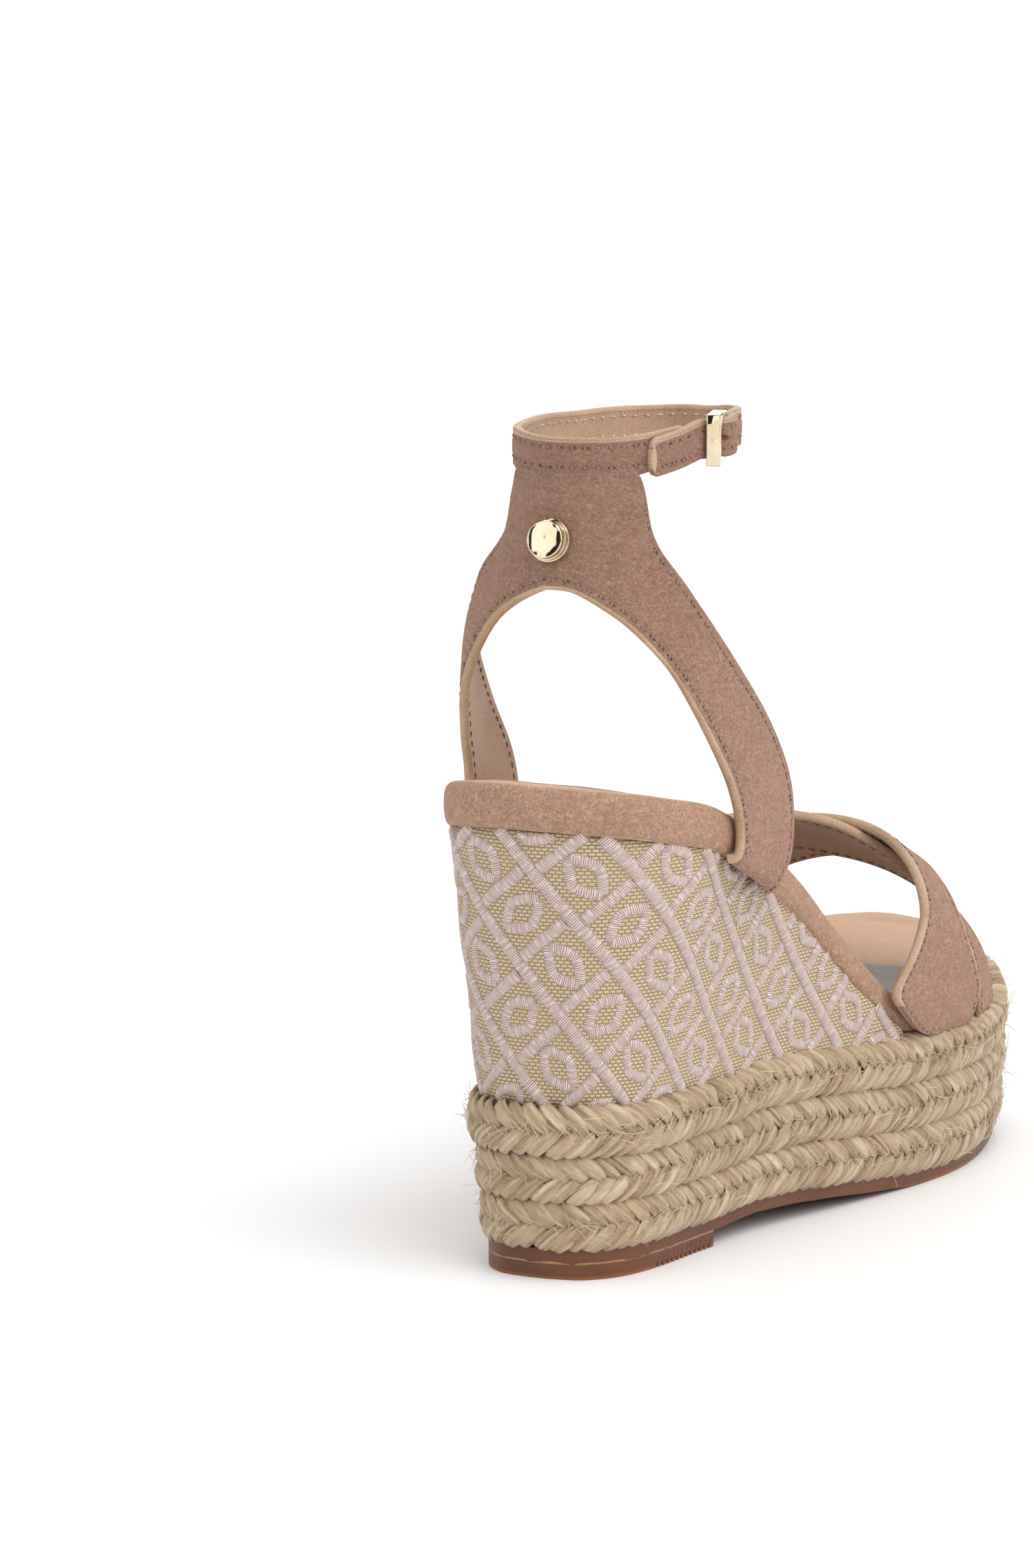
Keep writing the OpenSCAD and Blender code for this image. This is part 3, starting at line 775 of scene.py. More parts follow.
suede = suedeFinish("roseSuede", (110, 77, 60), (163, 127, 107), (208, 174, 150), (167, 130, 113), 0.145)
padSuede = suedeFinish("padSuede", (126, 90, 68), (175, 138, 115), (222, 190, 162), (180, 143, 121),
                       litTop=(210, 176, 149))
lining = leatherFinish("tanLining", (176, 138, 108), (128, 92, 66), (190, 156, 128))
binding = leatherFinish("tanBinding", (184, 150, 118), (132, 96, 68), (204, 174, 144), 0.4)
sockLeather = leatherFinish("sockLeather", (150, 138, 131), (112, 100, 94), (162, 150, 143), 0.5)
canvas = canvasFinish()
satin = embroideryFinish()
jute = juteFinish()
fibre = fibreFinish()
rubber = rubberFinish()
gold = goldFinish()
seamThread = stitchFinish("seamThread", (118, 84, 70), (70, 46, 38), (176, 146, 134))
paleThread = stitchFinish("paleThread", (196, 172, 152), (150, 124, 104), (226, 208, 192))
print("finishes made")

# ---- sole

soleShape = {"bevel": 0.2, "liftFront": 27, "notchPitch": 2.1, "notchFrom": 1.5, "notchTo": 24.7,
             "notchDepth": 1.0, "notchHalf": 0.42, "notchEdge": 0.62, "liftTop": 3.72}


def buildSole():
    fine = loopAround(platformRight, platformLeft, 8)
    inset = heelToToe(fine[:, 1], -rowInset[0][3], -rowInset[1][3])
    loop = grown(fine, inset)
    half = len(loop) // 2
    right, left = loop[:half], loop[half:][::-1]
    outsole = slab("outsoleRubber", right, left, 10,
                   lambda y, x: heightAt(soleRise, y), lambda y: outsoleTop(y), rubber, soleShape["bevel"])
    settle(outsole, "root", ["outsole"])
    y = np.concatenate([np.linspace(right[0, 1], -12, 14)[:-1],
                        np.arange(-12, soleShape["notchFrom"] - 0.6, 1.5)])
    notches = []
    k = soleShape["notchFrom"]
    while k < soleShape["notchTo"]:
        notches += [k - soleShape["notchEdge"], k - soleShape["notchHalf"],
                    k + soleShape["notchHalf"], k + soleShape["notchEdge"]]
        k += soleShape["notchPitch"]
    y = np.concatenate([y, notches, [soleShape["liftFront"]]])
    edges = []
    for side in (right, left):
        order = np.argsort(side[:40, 1])
        edges.append(np.stack([np.interp(y, side[:40, 1][order], side[:40, 0][order]), y], 1))

    def treadLow(y, x):
        cut = np.zeros_like(y)
        for k in np.arange(soleShape["notchFrom"], soleShape["notchTo"], soleShape["notchPitch"]):
            cut = np.where(abs(y - k) < 0.5, soleShape["notchDepth"], cut)
        return cut

    lift = slab("heelLiftRubber", edges[0], edges[1], 8, treadLow, lambda y: y * 0 + soleShape["liftTop"],
                rubber, 0.1)
    settle(lift, "root", ["heel_lift"])


buildSole()
print("sole built")

# ---- braids

braidShape = {"pitch": 4.2, "width": 1.85, "thick": 0.8, "wall": 7.0, "sides": 16}
strayShape = {"count": 4200, "shortest": 2.5, "longest": 8.5, "thinnest": 0.045, "thickest": 0.085,
              "links": 5}


def ringPath(k):  # points, outward directions and heights along a braid, evenly spaced
    fine = loopAround(platformRight, platformLeft, 10)
    loop = grown(fine, heelToToe(fine[:, 1], -rowInset[0][2 - k], -rowInset[1][2 - k]))
    path = evenly(loop, 1400, closed=True)
    along = unit(np.roll(path, -1, 0) - np.roll(path, 1, 0))
    for _ in range(12):
        along = unit(along + np.roll(along, 1, 0) + np.roll(along, -1, 0))
    out = np.array([along[:, 1], -along[:, 0]]).T
    return path, along, out


def buildBraid(k, name, node):
    batch = Batch()
    path, _, out = ringPath(k)
    total = lengths(np.concatenate([path, path[:1]]))[-1]
    step = total / len(path)
    top = k == 2
    count = round(total / braidShape["pitch"])
    share = np.linspace(0, 1, 8)
    steps = [0, 0.14, 0.3, 0.5, 0.8, 1]
    sections = braidShape["sides"]
    turns = np.arange(sections) / sections * 2 * math.pi
    roundX = np.sign(np.cos(turns)) * abs(np.cos(turns)) ** 0.85
    roundY = np.sign(np.sin(turns)) * abs(np.sin(turns)) ** 0.7

    def place(run, depth, z):
        at = (run / step) % len(path)
        i = at.astype(int) % len(path)
        t = (at - np.floor(at))[:, None]
        j = (i + 1) % len(path)
        p = path[i] * (1 - t) + path[j] * t
        n = unit(out[i] * (1 - t) + out[j] * t)
        p = p + n * depth[:, None]
        ground = rowFloor(k, p[:, 1])
        tall = heightAt(rowHeight, p[:, 1])
        return np.concatenate([p, (ground + tall / 2 + z * tall / 11)[:, None]], 1), n

    for half in (1, -1):
        for s in range(count):
            jitter = chance.uniform(-0.5, 0.5)
            base = (s + (0.5 if half < 0 else 0)) * total / count + jitter
            if top and half > 0:
                depth = np.interp(share, steps, [-5.6, -3.4, -1.5, -0.35, -0.25, -1.7])
                z = np.interp(share, steps, [4.6, 4.8, 4.6, 3.5, 1.0, -0.8])
                run = np.interp(share, steps, [-1.6, -0.2, 1.2, 3.2, 5.9, 7.2])
            else:
                depth = np.interp(share, steps, [-2.4, -1.3, -0.6, -0.25, -0.35, -1.7])
                z = np.interp(share, steps, [5.3, 5.0, 4.2, 2.9, 0.8, -0.8])
                run = np.interp(share, steps, [0, 0.5, 1.5, 3.2, 5.9, 7.2])
            lift = chance.uniform(-0.2, 0.2)
            centre, n = place(base + run, depth + lift, z * half + chance.uniform(-0.15, 0.15))
            direction = unit(np.gradient(centre, axis=0))
            outward = unit(np.concatenate([n, np.full((len(n), 1), 0.0)], 1) + np.array([0, 0, 0.9 * half])
                           * np.interp(share, [0, 0.35, 0.6], [1, 0.4, 0])[:, None])
            side = unit(np.cross(outward, direction))
            over = np.cross(direction, side)
            size = chance.uniform(0.88, 1.14)
            wide = braidShape["width"] * size * np.interp(share, [0, 0.25, 0.6, 0.85, 1],
                                                          [0.9, 1, 1.05, 0.8, 0.4])
            thick = braidShape["thick"] * size * np.interp(share, [0, 0.25, 0.6, 0.85, 1],
                                                           [0.9, 1, 1.05, 0.9, 0.6])
            ridges = np.array([chance.gauss(0, 0.085) for _ in turns])
            drift = np.array([[chance.gauss(0, 0.03) for _ in turns] for _ in share])
            lobes = 1 + ridges[None] + drift
            ring = (centre[:, None] + side[:, None] * (roundX * lobes * wide[:, None])[..., None]
                    + over[:, None] * (roundY * lobes * thick[:, None])[..., None])
            # partly random fibre tone and partly painted light: a strand is lighter where its ridges stand
            # proud and darker where they sink
            uneven = np.array([chance.gauss(0, 0.13) for _ in turns])
            streak = np.clip(0.5 + ridges[None] * 2.2 + uneven[None]
                             + drift * 2, 0, 1)
            around = np.arange(sections + 1) / sections
            maps = np.stack(np.meshgrid(share * 9, around * 9, indexing="ij"), -1)
            # painted shade amount, stored as depth: low at the strand ends that tuck in and on the
            # undersides, which the jute finish paints dark
            cover = np.interp(share, [0, 0.2, 0.5, 0.8, 1], [0.45, 0.85, 1, 0.85, 0.1])[:, None] \
                * np.interp(np.sin(turns), [-1, 0, 0.5], [0.1, 0.35, 1])[None, :]
            batch.grid(ring, maps, lot=chance.random(), depth=cover, streak=streak, wrapColumns=True,
                       caps=True)
    # the inner band behind the strands carries a low depth, so the jute finish paints it dark as painted
    # shadow in the gaps between strands
    every = 7
    p, n = path[::every], out[::every]
    ground, tall = rowFloor(k, p[:, 1]), heightAt(rowHeight, p[:, 1])
    shape = [(-braidShape["wall"], 0.02), (-braidShape["wall"], 0.97), (-2.6, 0.97), (-1.5, 0.74),
             (-1.9, 0.5), (-1.5, 0.26), (-2.4, 0.03), (-5, 0.02)]
    ring = np.stack([np.concatenate([p + n * d, (ground + tall * h)[:, None]], 1) for d, h in shape], 1)
    run = np.arange(len(p) + 1) * step * every
    maps = np.stack(np.meshgrid(run, np.arange(9) * 2.0, indexing="ij"), -1)
    batch.grid(ring, maps, lot=0.2, depth=0.12, wrapRows=True, wrapColumns=True)
    settle(batch.piece(name, jute), "root", [node])


def buildStray():
    batch = Batch()
    paths = [ringPath(k) for k in range(3)]
    for _ in range(strayShape["count"]):
        k = chance.choice([0, 1, 2, 2])
        path, along, out = paths[k]
        i = chance.randrange(len(path))
        z = chance.uniform(-4.8, 5.0)
        depth = 0.6 - 0.08 * z * z / 3 - (chance.uniform(0, 3) if k == 2 and z > 4 else 0)
        ground, tall = float(rowFloor(k, path[i][1])), float(heightAt(rowHeight, path[i][1]))
        start = np.array([*(path[i] + out[i] * depth), ground + tall / 2 + z])
        a, n = np.array([*along[i], 0]), np.array([*out[i], 0])
        slant = (-0.75 if z > 0 else 0.75) + chance.gauss(0, 0.35)
        heading = unit(a + np.array([0, 0, slant]) + n * abs(chance.gauss(0.0, 0.1)))
        curl = np.array([chance.gauss(0, 1), chance.gauss(0, 1), chance.gauss(0, 1)]) * 0.14
        reach = chance.uniform(strayShape["shortest"], strayShape["longest"])
        points = [start]
        for _link in range(strayShape["links"]):
            heading = unit(heading + curl - n * 0.09)
            points.append(points[-1] + heading * reach / strayShape["links"])
        size = chance.uniform(strayShape["thinnest"], strayShape["thickest"])
        tube(batch, points, size * np.array([1, 1, 1, 0.9, 0.8, 0.5]), 4, lot=chance.random())
    settle(batch.piece("strayFibres", fibre), "root", ())


for number, title in enumerate(("braidLower", "braidMiddle", "braidUpper")):
    buildBraid(number, title, ("braid_lower", "braid_middle", "braid_upper")[number])
buildStray()
print("braids built")

# ---- wedge canvas and its embroidery

canvasShape = {"thick": 0.9, "rows": 14, "tuck": 1.5}


def openLoop(right, left):  # from the left side's front, round the heel, to the right side's front
    return np.concatenate([left[::-1], right])


footLoop = openLoop(smoothLine(wedgeFootRight, 8), smoothLine(wedgeFootLeft, 8))
headLoop = openLoop(smoothLine(wedgeHeadRight, 8), smoothLine(wedgeHeadLeft, 8))
canvasRun = lengths((footLoop + headLoop) / 2)
heelRun = float(np.interp(len(footLoop) / 2 - 0.5, np.arange(len(footLoop)), canvasRun))


def canvasPoint(s, height, lift=0.0):  # a point on the canvas, s round from the heel
    index = np.interp(np.asarray(s, float) + heelRun, canvasRun, np.arange(len(footLoop)))
    i = np.clip(np.floor(index).astype(int), 0, len(footLoop) - 2)
    t = (index - i)[..., None]
    foot = footLoop[i] * (1 - t) + footLoop[i + 1] * t
    head = headLoop[i] * (1 - t) + headLoop[i + 1] * t
    before, after = np.maximum(i - 1, 0), np.minimum(i + 2, len(footLoop) - 1)
    along = unit(footLoop[after] - footLoop[before] + headLoop[after] - headLoop[before])
    low = platformTop(foot[..., 1]) + 0.05
    high = footbedFloor(head[..., 1]) - 0.05
    share = ((height - low) / np.maximum(high - low, 0.1))[..., None]
    plan = foot + (head - foot) * share
    out = np.stack([along[..., 1], -along[..., 0]], -1)
    lean = ((head - foot) * out).sum(-1) / np.maximum(high - low, 4)
    normal = unit(np.concatenate([out, -lean[..., None]], -1))
    point = np.concatenate([plan, np.asarray(height, float)[..., None]], -1)
    return point + normal * np.asarray(lift)[..., None], low, high


def buildCanvas():
    batch = Batch()
    foot, head = footLoop, headLoop
    low, high = platformTop(foot[:, 1]) - canvasShape["tuck"], footbedFloor(head[:, 1]) - 0.05
    ring = []
    for j in range(canvasShape["rows"] + 1):
        t = j / canvasShape["rows"]
        ring.append(np.concatenate([foot + (head - foot) * t, (low + (high - low) * t)[:, None]], 1))
    outer = np.stack(ring, 1)
    out = unit(np.gradient(foot, axis=0))
    out = np.stack([out[:, 1], -out[:, 0], out[:, 0] * 0], 1)
    inner = outer[:, ::-1] - out[:, None] * canvasShape["thick"]
    ring = np.concatenate([outer, inner], 1)
    maps = np.stack([np.broadcast_to(canvasRun[:, None], ring.shape[:2]), ring[..., 2]], -1)
    maps = np.concatenate([maps, maps[:, :1]], 1)
    batch.grid(ring, maps, wrapRows=False, wrapColumns=True, caps=True)
    cover = settle(batch.piece("wedgeCanvas", canvas), "root", ["wedge_cover"])


buildCanvas()

satinShape = {"angle": 50, "long": 16.8, "rung": 15.0, "longWidth": 3.4, "rungWidth": 3.1, "raise": 0.75,
              "leaf": 2.7, "leafLong": 5.6, "leafWide": 3.3, "centre": (-3.5, 73.0), "step": 0.6}


def buildEmbroidery():
    batch = Batch()
    angle = math.radians(satinShape["angle"])
    down = np.array([math.cos(angle), -math.sin(angle)])
    rise = np.array([math.sin(angle), math.cos(angle)])
    centre = np.array(satinShape["centre"])
    offsets = np.array([-1.0, -0.86, -0.5, 0, 0.5, 0.86, 1.0])
    lifts = np.array([-0.12, 0.3, 0.82, 1.0, 0.82, 0.3, -0.12])

    def lay(points, width, height, key):
        s, z = points[:, 0], points[:, 1]
        _, low, high = canvasPoint(s, z)
        inside = (s > 1 - heelRun) & (s < canvasRun[-1] - heelRun - 1) & (z > low - 0.8) & (z < high + 0.3)
        marks = np.flatnonzero(np.diff(np.concatenate([[0], inside.astype(int), [0]])))
        for first, last in zip(marks[::2], marks[1::2]):
            if last - first < 3:
                continue
            line = points[first:last]
            along = unit(np.gradient(line, axis=0))
            side = np.stack([-along[:, 1], along[:, 0]], 1)
            wave = np.array([noise.noise(Vector((p[0] * 1.3 + key, p[1] * 1.3, key * 3.1))) for p in line])
            wide = width / 2 * (1 + 0.13 * wave)
            ends = np.arange(len(line))
            fade = np.minimum(1, np.minimum(ends, ends[::-1]) / 1.5 + 0.25)
            flat = line[:, None] + side[:, None] * (offsets[None] * wide[:, None])[..., None]
            point, _, _ = canvasPoint(flat[..., 0], flat[..., 1],
                                      height * lifts[None] * fade[:, None] * (1 + 0.12 * wave[:, None]))
            low3 = flat[:, ::3][:, ::-1]
            under, _, _ = canvasPoint(low3[..., 0], low3[..., 1], np.full((len(line), 3), -0.35))
            ring = np.concatenate([point, under], 1)
            maps = np.stack(np.meshgrid(lengths(line) + key * 7.7,
                                        np.concatenate([offsets, [1.05, 0, -1.05, -1.0]]),
                                        indexing="ij"), -1)
            batch.grid(ring, maps, wrapColumns=True, caps=True)

    step = satinShape["step"]
    for k in range(-12, 13):
        base = centre + rise * (k * satinShape["long"])
        a = np.arange(-200, 200, step)
        lay(base + down[None] * a[:, None], satinShape["longWidth"], satinShape["raise"] * 1.25, k)
        for m in range(-14, 15):
            corner = base + down * (m * satinShape["rung"] + (k % 2) * 2.2)
            if abs(corner[0]) > 175 or not 15 < corner[1] < 130:
                continue
            b = np.arange(1.3, satinShape["long"] - 1.2, step)
            lay(corner + rise[None] * b[:, None], satinShape["rungWidth"], satinShape["raise"], k * 5 + m)
            middle = corner + rise * satinShape["long"] / 2 + down * satinShape["rung"] / 2
            # a pointed leaf outline in each cell, standing in one and lying in the next
            first, second = (rise, down) if (k + m) % 2 else (down, rise)
            b = np.linspace(-1, 1, 17)
            for way in (-1, 1):
                bow = way * satinShape["leafWide"] * (1 - abs(b) ** 1.5)
                reach = first[None] * (b * satinShape["leafLong"])[:, None]
                leaf = middle + reach + second[None] * bow[:, None]
                lay(leaf, satinShape["leaf"], satinShape["raise"] * 0.9, k * 3 + m + way)
    settle(batch.piece("wedgeEmbroidery", satin), "root", ())


buildEmbroidery()
print("wedge built")

# ---- footbed pad and sock

padShape = {"pressure": 4.0, "frames": 20, "cap": 0.9, "columns": 10}


def buildPad():
    right = evenly(smoothLine(footbedRight, 8), 84)
    left = evenly(smoothLine(footbedLeft, 8), 84)
    loop = np.concatenate([right, left[::-1]])
    half = len(right)
    profile = [(3.0, 0.0, 0.0), (0.9, 0.05, 0.0), (0.15, 1.1, 0.0), (-0.25, 0.0, 0.32), (-0.35, 0.0, 0.5),
               (-0.25, 0.0, 0.7), (0.15, 0.0, 0.86), (1.2, 0.0, 0.98), (2.8, 0.0, 1.02), (4.6, 0.0, 0.97),
               (6.5, 0.0, 0.91)]
    rings = []
    for inset, up, share in profile:
        plan = grown(loop, np.full(len(loop), -inset))
        deep = heightAt(footbedDepth, plan[:, 1])
        rings.append(np.concatenate([plan, (footbedFloor(plan[:, 1]) + up + deep * share)[:, None]], 1))
    ring = np.stack(rings, 0)
    points = ring.reshape(-1, 3).tolist()
    n = len(loop)
    faces = []
    for r in range(len(profile) - 1):
        for i in range(n):
            j = (i + 1) % n
            faces.append((r * n + i, r * n + j, (r + 1) * n + j, (r + 1) * n + i))

    def cap(base, columns):
        lines = [[base + i for i in range(half)]]
        for c in range(1, columns):
            t = c / columns
            row = []
            for i in range(half):
                a, b = np.array(points[base + i]), np.array(points[base + n - 1 - i])
                row.append(len(points))
                points.append((a * (1 - t) + b * t).tolist())
            lines.append(row)
        lines.append([base + n - 1 - i for i in range(half)])
        for one, two in zip(lines, lines[1:]):
            for i in range(half - 1):
                faces.append((one[i], one[i + 1], two[i + 1], two[i]))
        return lines

    cap((len(profile) - 1) * n, padShape["columns"])
    cap(0, 6)
    mesh = bpy.data.meshes.new("footbedPad")
    mesh.from_pydata((np.array(points) * mm).tolist(), [], faces)
    work = bmesh.new()
    work.from_mesh(mesh)
    bmesh.ops.recalc_face_normals(work, faces=work.faces)
    work.to_mesh(mesh)
    work.free()
    pad = bpy.data.objects.new("footbedPad", mesh)
    bpy.context.scene.collection.objects.link(pad)
    rest = np.zeros(len(mesh.vertices) * 3)
    mesh.vertices.foreach_get("co", rest)
    rest = rest.reshape(-1, 3)
    floor = footbedFloor(rest[:, 1] / mm) * mm
    held = pad.vertex_groups.new(name="held")
    held.add([i for i in range(len(rest)) if rest[i, 2] < floor[i] + 0.0014], 1.0, "REPLACE")
    cloth = pad.modifiers.new("swell", "CLOTH")
    cloth.settings.vertex_group_mass = "held"
    cloth.settings.quality = 5
    cloth.settings.use_pressure = True
    cloth.settings.uniform_pressure_force = padShape["pressure"]
    cloth.settings.effector_weights.gravity = 0
    cloth.settings.tension_stiffness = cloth.settings.compression_stiffness = 40
    cloth.settings.bending_stiffness = 4
    cloth.collision_settings.use_collision = False
    cloth.point_cache.frame_start, cloth.point_cache.frame_end = 1, padShape["frames"]
    for number in range(1, padShape["frames"] + 1):
        bpy.context.scene.frame_set(number)
    swollen = pad.evaluated_get(bpy.context.evaluated_depsgraph_get())
    moved = np.zeros(len(rest) * 3)
    swollen.data.vertices.foreach_get("co", moved)
    moved = moved.reshape(-1, 3) - rest
    reach = np.linalg.norm(moved, axis=1, keepdims=True)
    moved *= np.minimum(1, padShape["cap"] * mm / np.maximum(reach, 1e-9))
    pad.modifiers.remove(cloth)
    bpy.context.scene.frame_set(1)
    rest = rest + np.nan_to_num(moved)
    mesh.update()
    ups = np.array([v.normal for v in mesh.vertices])
    for i, p in enumerate(rest):
        soft = noise.noise(Vector(p * 55)) * 0.28 + noise.noise(Vector(p * 170)) * 0.1
        rest[i] = p + ups[i] * soft * mm
    mesh.vertices.foreach_set("co", rest.ravel())
    subdivision = pad.modifiers.new("fine", "SUBSURF")
    subdivision.levels = subdivision.render_levels = 1
    choose(pad)
    bpy.ops.object.modifier_apply(modifier="fine")
    mesh = pad.data
    mesh.polygons.foreach_set("use_smooth", [True] * len(mesh.polygons))
    # how much each point faces up, stored as depth; the pad's finish paints the up-facing side paler as
    # painted light
    facing = mesh.attributes.new("depth", "FLOAT", "POINT")
    facing.data.foreach_set("value", [v.normal.z for v in mesh.vertices])
    mesh.materials.append(padSuede.material)
    settle(pad, "root", ["footbed_cover"])
    return pad


pad = buildPad()

sockShape = {"inset": 7.0, "to": 155, "thick": 0.6}


def buildSock():
    right = evenly(smoothLine(footbedRight, 8), 120)
    left = evenly(smoothLine(footbedLeft, 8), 120)
    loop = grown(np.concatenate([right, left[::-1]]), np.full(240, -sockShape["inset"]))
    right, left = loop[:120], loop[120:][::-1]
    keep = (right[:, 1] < sockShape["to"]) & (left[:, 1] < sockShape["to"])
    right, left = right[keep], left[keep]
    top = BVHTree.FromPolygons([v.co for v in pad.data.vertices],
                               [list(p.vertices) for p in pad.data.polygons])
    share = np.linspace(0, 1, 15)
    grid = np.zeros((len(right), 15, 3))
    for i in range(len(right)):
        plan = right[i] + (left[i] - right[i]) * share[:, None]
        for j, p in enumerate(plan):
            hit = top.ray_cast(Vector((p[0] * mm, p[1] * mm, 0.2)), Vector((0, 0, -1)))[0]
            z = hit.z / mm if hit else float(footbedTop(p[1]))
            grid[i, j] = (p[0], p[1], z + 0.05)
    batch = Batch()
    thickSheet(batch, grid[:, ::-1], -0.3, sockShape["thick"], 0.3)
    settle(batch.piece("sockLeather", sockLeather), "root", ["sock_lining"])


buildSock()
print("footbed built")

# ---- vamp straps

vampHalf = [[90, 38.9], [115, 41.4], [130, 42], [140, 41.4], [150, 39.7], [158, 37.4], [170, 33]]
vampHeight = [[95, 53], [115, 50], [130, 46], [145, 38.5], [156, 31.5], [170, 24]]
upperEdges = [[0, 111, 132], [1.7, 104.5, 132.6], [5.5, 98, 134], [10, 92.4, 135.6], [13, 92.4, 135],
              [21, 103, 133.5], [29, 112.5, 134.5], [36, 118.5, 136.5], [48, 125, 141],
              [66, 130.5, 148.5], [90, 135.5, 156], [118, 138, 160], [150, 136, 160], [180, 132, 158]]
lowerEdges = [[0, 139.5, 158], [14, 141, 158.5], [27, 141, 158], [40, 139.5, 157], [52, 138, 156],
              [66, 134, 154.5], [90, 127, 151], [110, 120, 145], [130, 111, 138], [152, 102, 131.5],
              [180, 97, 128]]
vampShape = {"round": 0.93, "lift": 2.4, "suede": 1.2, "lining": 0.8, "stitchIn": 1.9, "binding": 1.0}
edgeColumns = [0, 0.5, 1.0, 1.6, 2.1, 2.6, 3.4]


def vampGrid(edges, rows, lift):
    line = smoothLine(edges, 12)
    line = evenly(line * np.array([0.6, 1, 1]), rows) / np.array([0.6, 1, 1])
    share = np.linspace(0, 1, 18)
    grid = np.zeros((rows, 18, 3))
    for i, (angle, rear, front) in enumerate(line):
        y = rear + (front - rear) * share
        c, s = math.cos(math.radians(angle)), math.sin(math.radians(angle))
        x = heightAt(vampHalf, y) * np.sign(c) * abs(c) ** vampShape["round"]
        grid[i] = np.stack([x, y, platformTop(y) + 0.15 + heightAt(vampHeight, y) * s], 1)
    if lift:
        amount = lift * np.minimum(1, 2.2 * np.sin(math.pi * np.arange(rows) / (rows - 1)))
        grid = grid + gridNormals(grid) * amount[:, None, None]
    return grid


def channelRelief(grid, at, depth=0.2, wide=0.4, plump=0.12, soft=0.25, scale=0.09, creases=0.0):
    relief = np.zeros(grid.shape[:2])
    for i, row in enumerate(grid):
        run = lengths(row)
        edge = np.minimum(run, run[-1] - run)
        swell = plump * np.exp(-((edge - at - 1.6) / 1.2) ** 2)
        relief[i] = swell - depth * np.exp(-((edge - at) / wide) ** 2)
        relief[i] += [noise.noise(Vector(p * scale)) * soft * min(1, e / 4) for p, e in zip(row, edge)]
        if creases:  # long folds that follow the strap's edge
            relief[i] += [noise.noise(Vector((r * 0.45, i * 0.03, 4.4))) * creases * min(1, e / 3)
                          for r, e in zip(run, edge)]
    return relief


def buildVamp(edges, lift, names, nodes):
    raw = vampGrid(edges, 130, lift)
    grid = regrid(raw, edgeColumns, 14)
    relief = channelRelief(grid, vampShape["stitchIn"], soft=0.6, creases=0.35)
    batch = Batch()
    top, normal = thickSheet(batch, grid, 0.05, vampShape["suede"], 0.4, relief)
    settle(batch.piece(names[0], suede), "root", [nodes[0]])
    batch = Batch()
    thickSheet(batch, grid, -vampShape["lining"], 0.0, 0.3)
    settle(batch.piece(names[1], lining), "root", [nodes[1]])
    batch = Batch()
    bound = grid[:, 0, 2] > platformTop(grid[:, 0, 1]) + 8
    edgeBead(batch, grid[bound], -vampShape["lining"], vampShape["suede"], vampShape["binding"], False, 0.15,
             0.6)
    edgeBead(batch, grid[bound], -vampShape["lining"], vampShape["suede"], 0.5, True, 0.1, 0.4)
    settle(batch.piece(names[0] + "Binding", binding), "root", ())
    batch = Batch()
    for fromEnd in (False, True):
        line = insetLine(top, vampShape["stitchIn"], fromEnd)
        stitchRow(batch, line, normalLine(normal, top, vampShape["stitchIn"], fromEnd))
        under = grid - normal * vampShape["lining"]
        line = insetLine(under, vampShape["stitchIn"], fromEnd)
        stitchRow(batch, line, -normalLine(normal, under, vampShape["stitchIn"], fromEnd))
    settle(batch.piece(names[0] + "Stitches", seamThread), "root", ())


buildVamp(lowerEdges, 0, ("lowerVamp", "lowerVampLining"), ("vamp_strap_lower", "vamp_strap_lower_lining"))
buildVamp(upperEdges, vampShape["lift"], ("upperVamp", "upperVampLining"),
          ("vamp_strap_upper", "vamp_strap_upper_lining"))
print("vamp built")

# ---- counter with its legs

counterRungs = [
    [[33.0, 34, 82.9], [32.4, 12.2, 93.6]],
    [[34.7, 34, 84.4], [34.2, 13.0, 94.3]], [[34.7, 40.5, 90], [34.0, 14.9, 97.6]],
    [[34.9, 41.5, 100], [33.8, 14.2, 103.5]],
    [[35, 37.5, 111], [33, 11.8, 110.5]], [[34.6, 26, 125], [31.6, 7.2, 118.5]],
    [[31.6, 12, 141], [28.6, 1, 129.5]], [[25, 4, 156], [24, -3, 139]],
    [[17.4, 3, 167], [17.2, -7.2, 147.5]],
    [[13, 4.5, 180.5], [10.5, -9.4, 152.5]], [[7, -1.6, 180.5], [4, -9.9, 155.6]],
    [[-1.5, -3.8, 180.5], [-1.5, -10, 156]]]
counterShape = {"middle": -1.5, "bow": 0.8, "top": 180.5, "centreY": 32, "suede": 1.2, "lining": 0.8,
                "archStitch": 1.8, "frontStitch": 1.9, "binding": 0.5}


def mirrored(p):
    return [2 * float(np.interp(p[2], [140, 170, 183], [0.5, 0, counterShape["middle"]])) - p[0], p[1], p[2]]


def counterGrid():
    rungs = counterRungs + [[mirrored(p) for p in r] for r in counterRungs[-2::-1]]
    front = smoothLine([r[0] for r in rungs], 10)
    front[:, 2] = np.minimum(front[:, 2], counterShape["top"])
    arch = smoothLine([r[1] for r in rungs], 10)
    share = np.linspace(0, 1, 16)[None, :, None]
    grid = arch[:, None] + (front - arch)[:, None] * share
    out = unit(np.stack([grid[..., 0] - counterShape["middle"],
                         0.5 * (grid[..., 1] - counterShape["centreY"]),
                         grid[..., 0] * 0], -1))
    return grid + out * 4 * share * (1 - share) * counterShape["bow"]


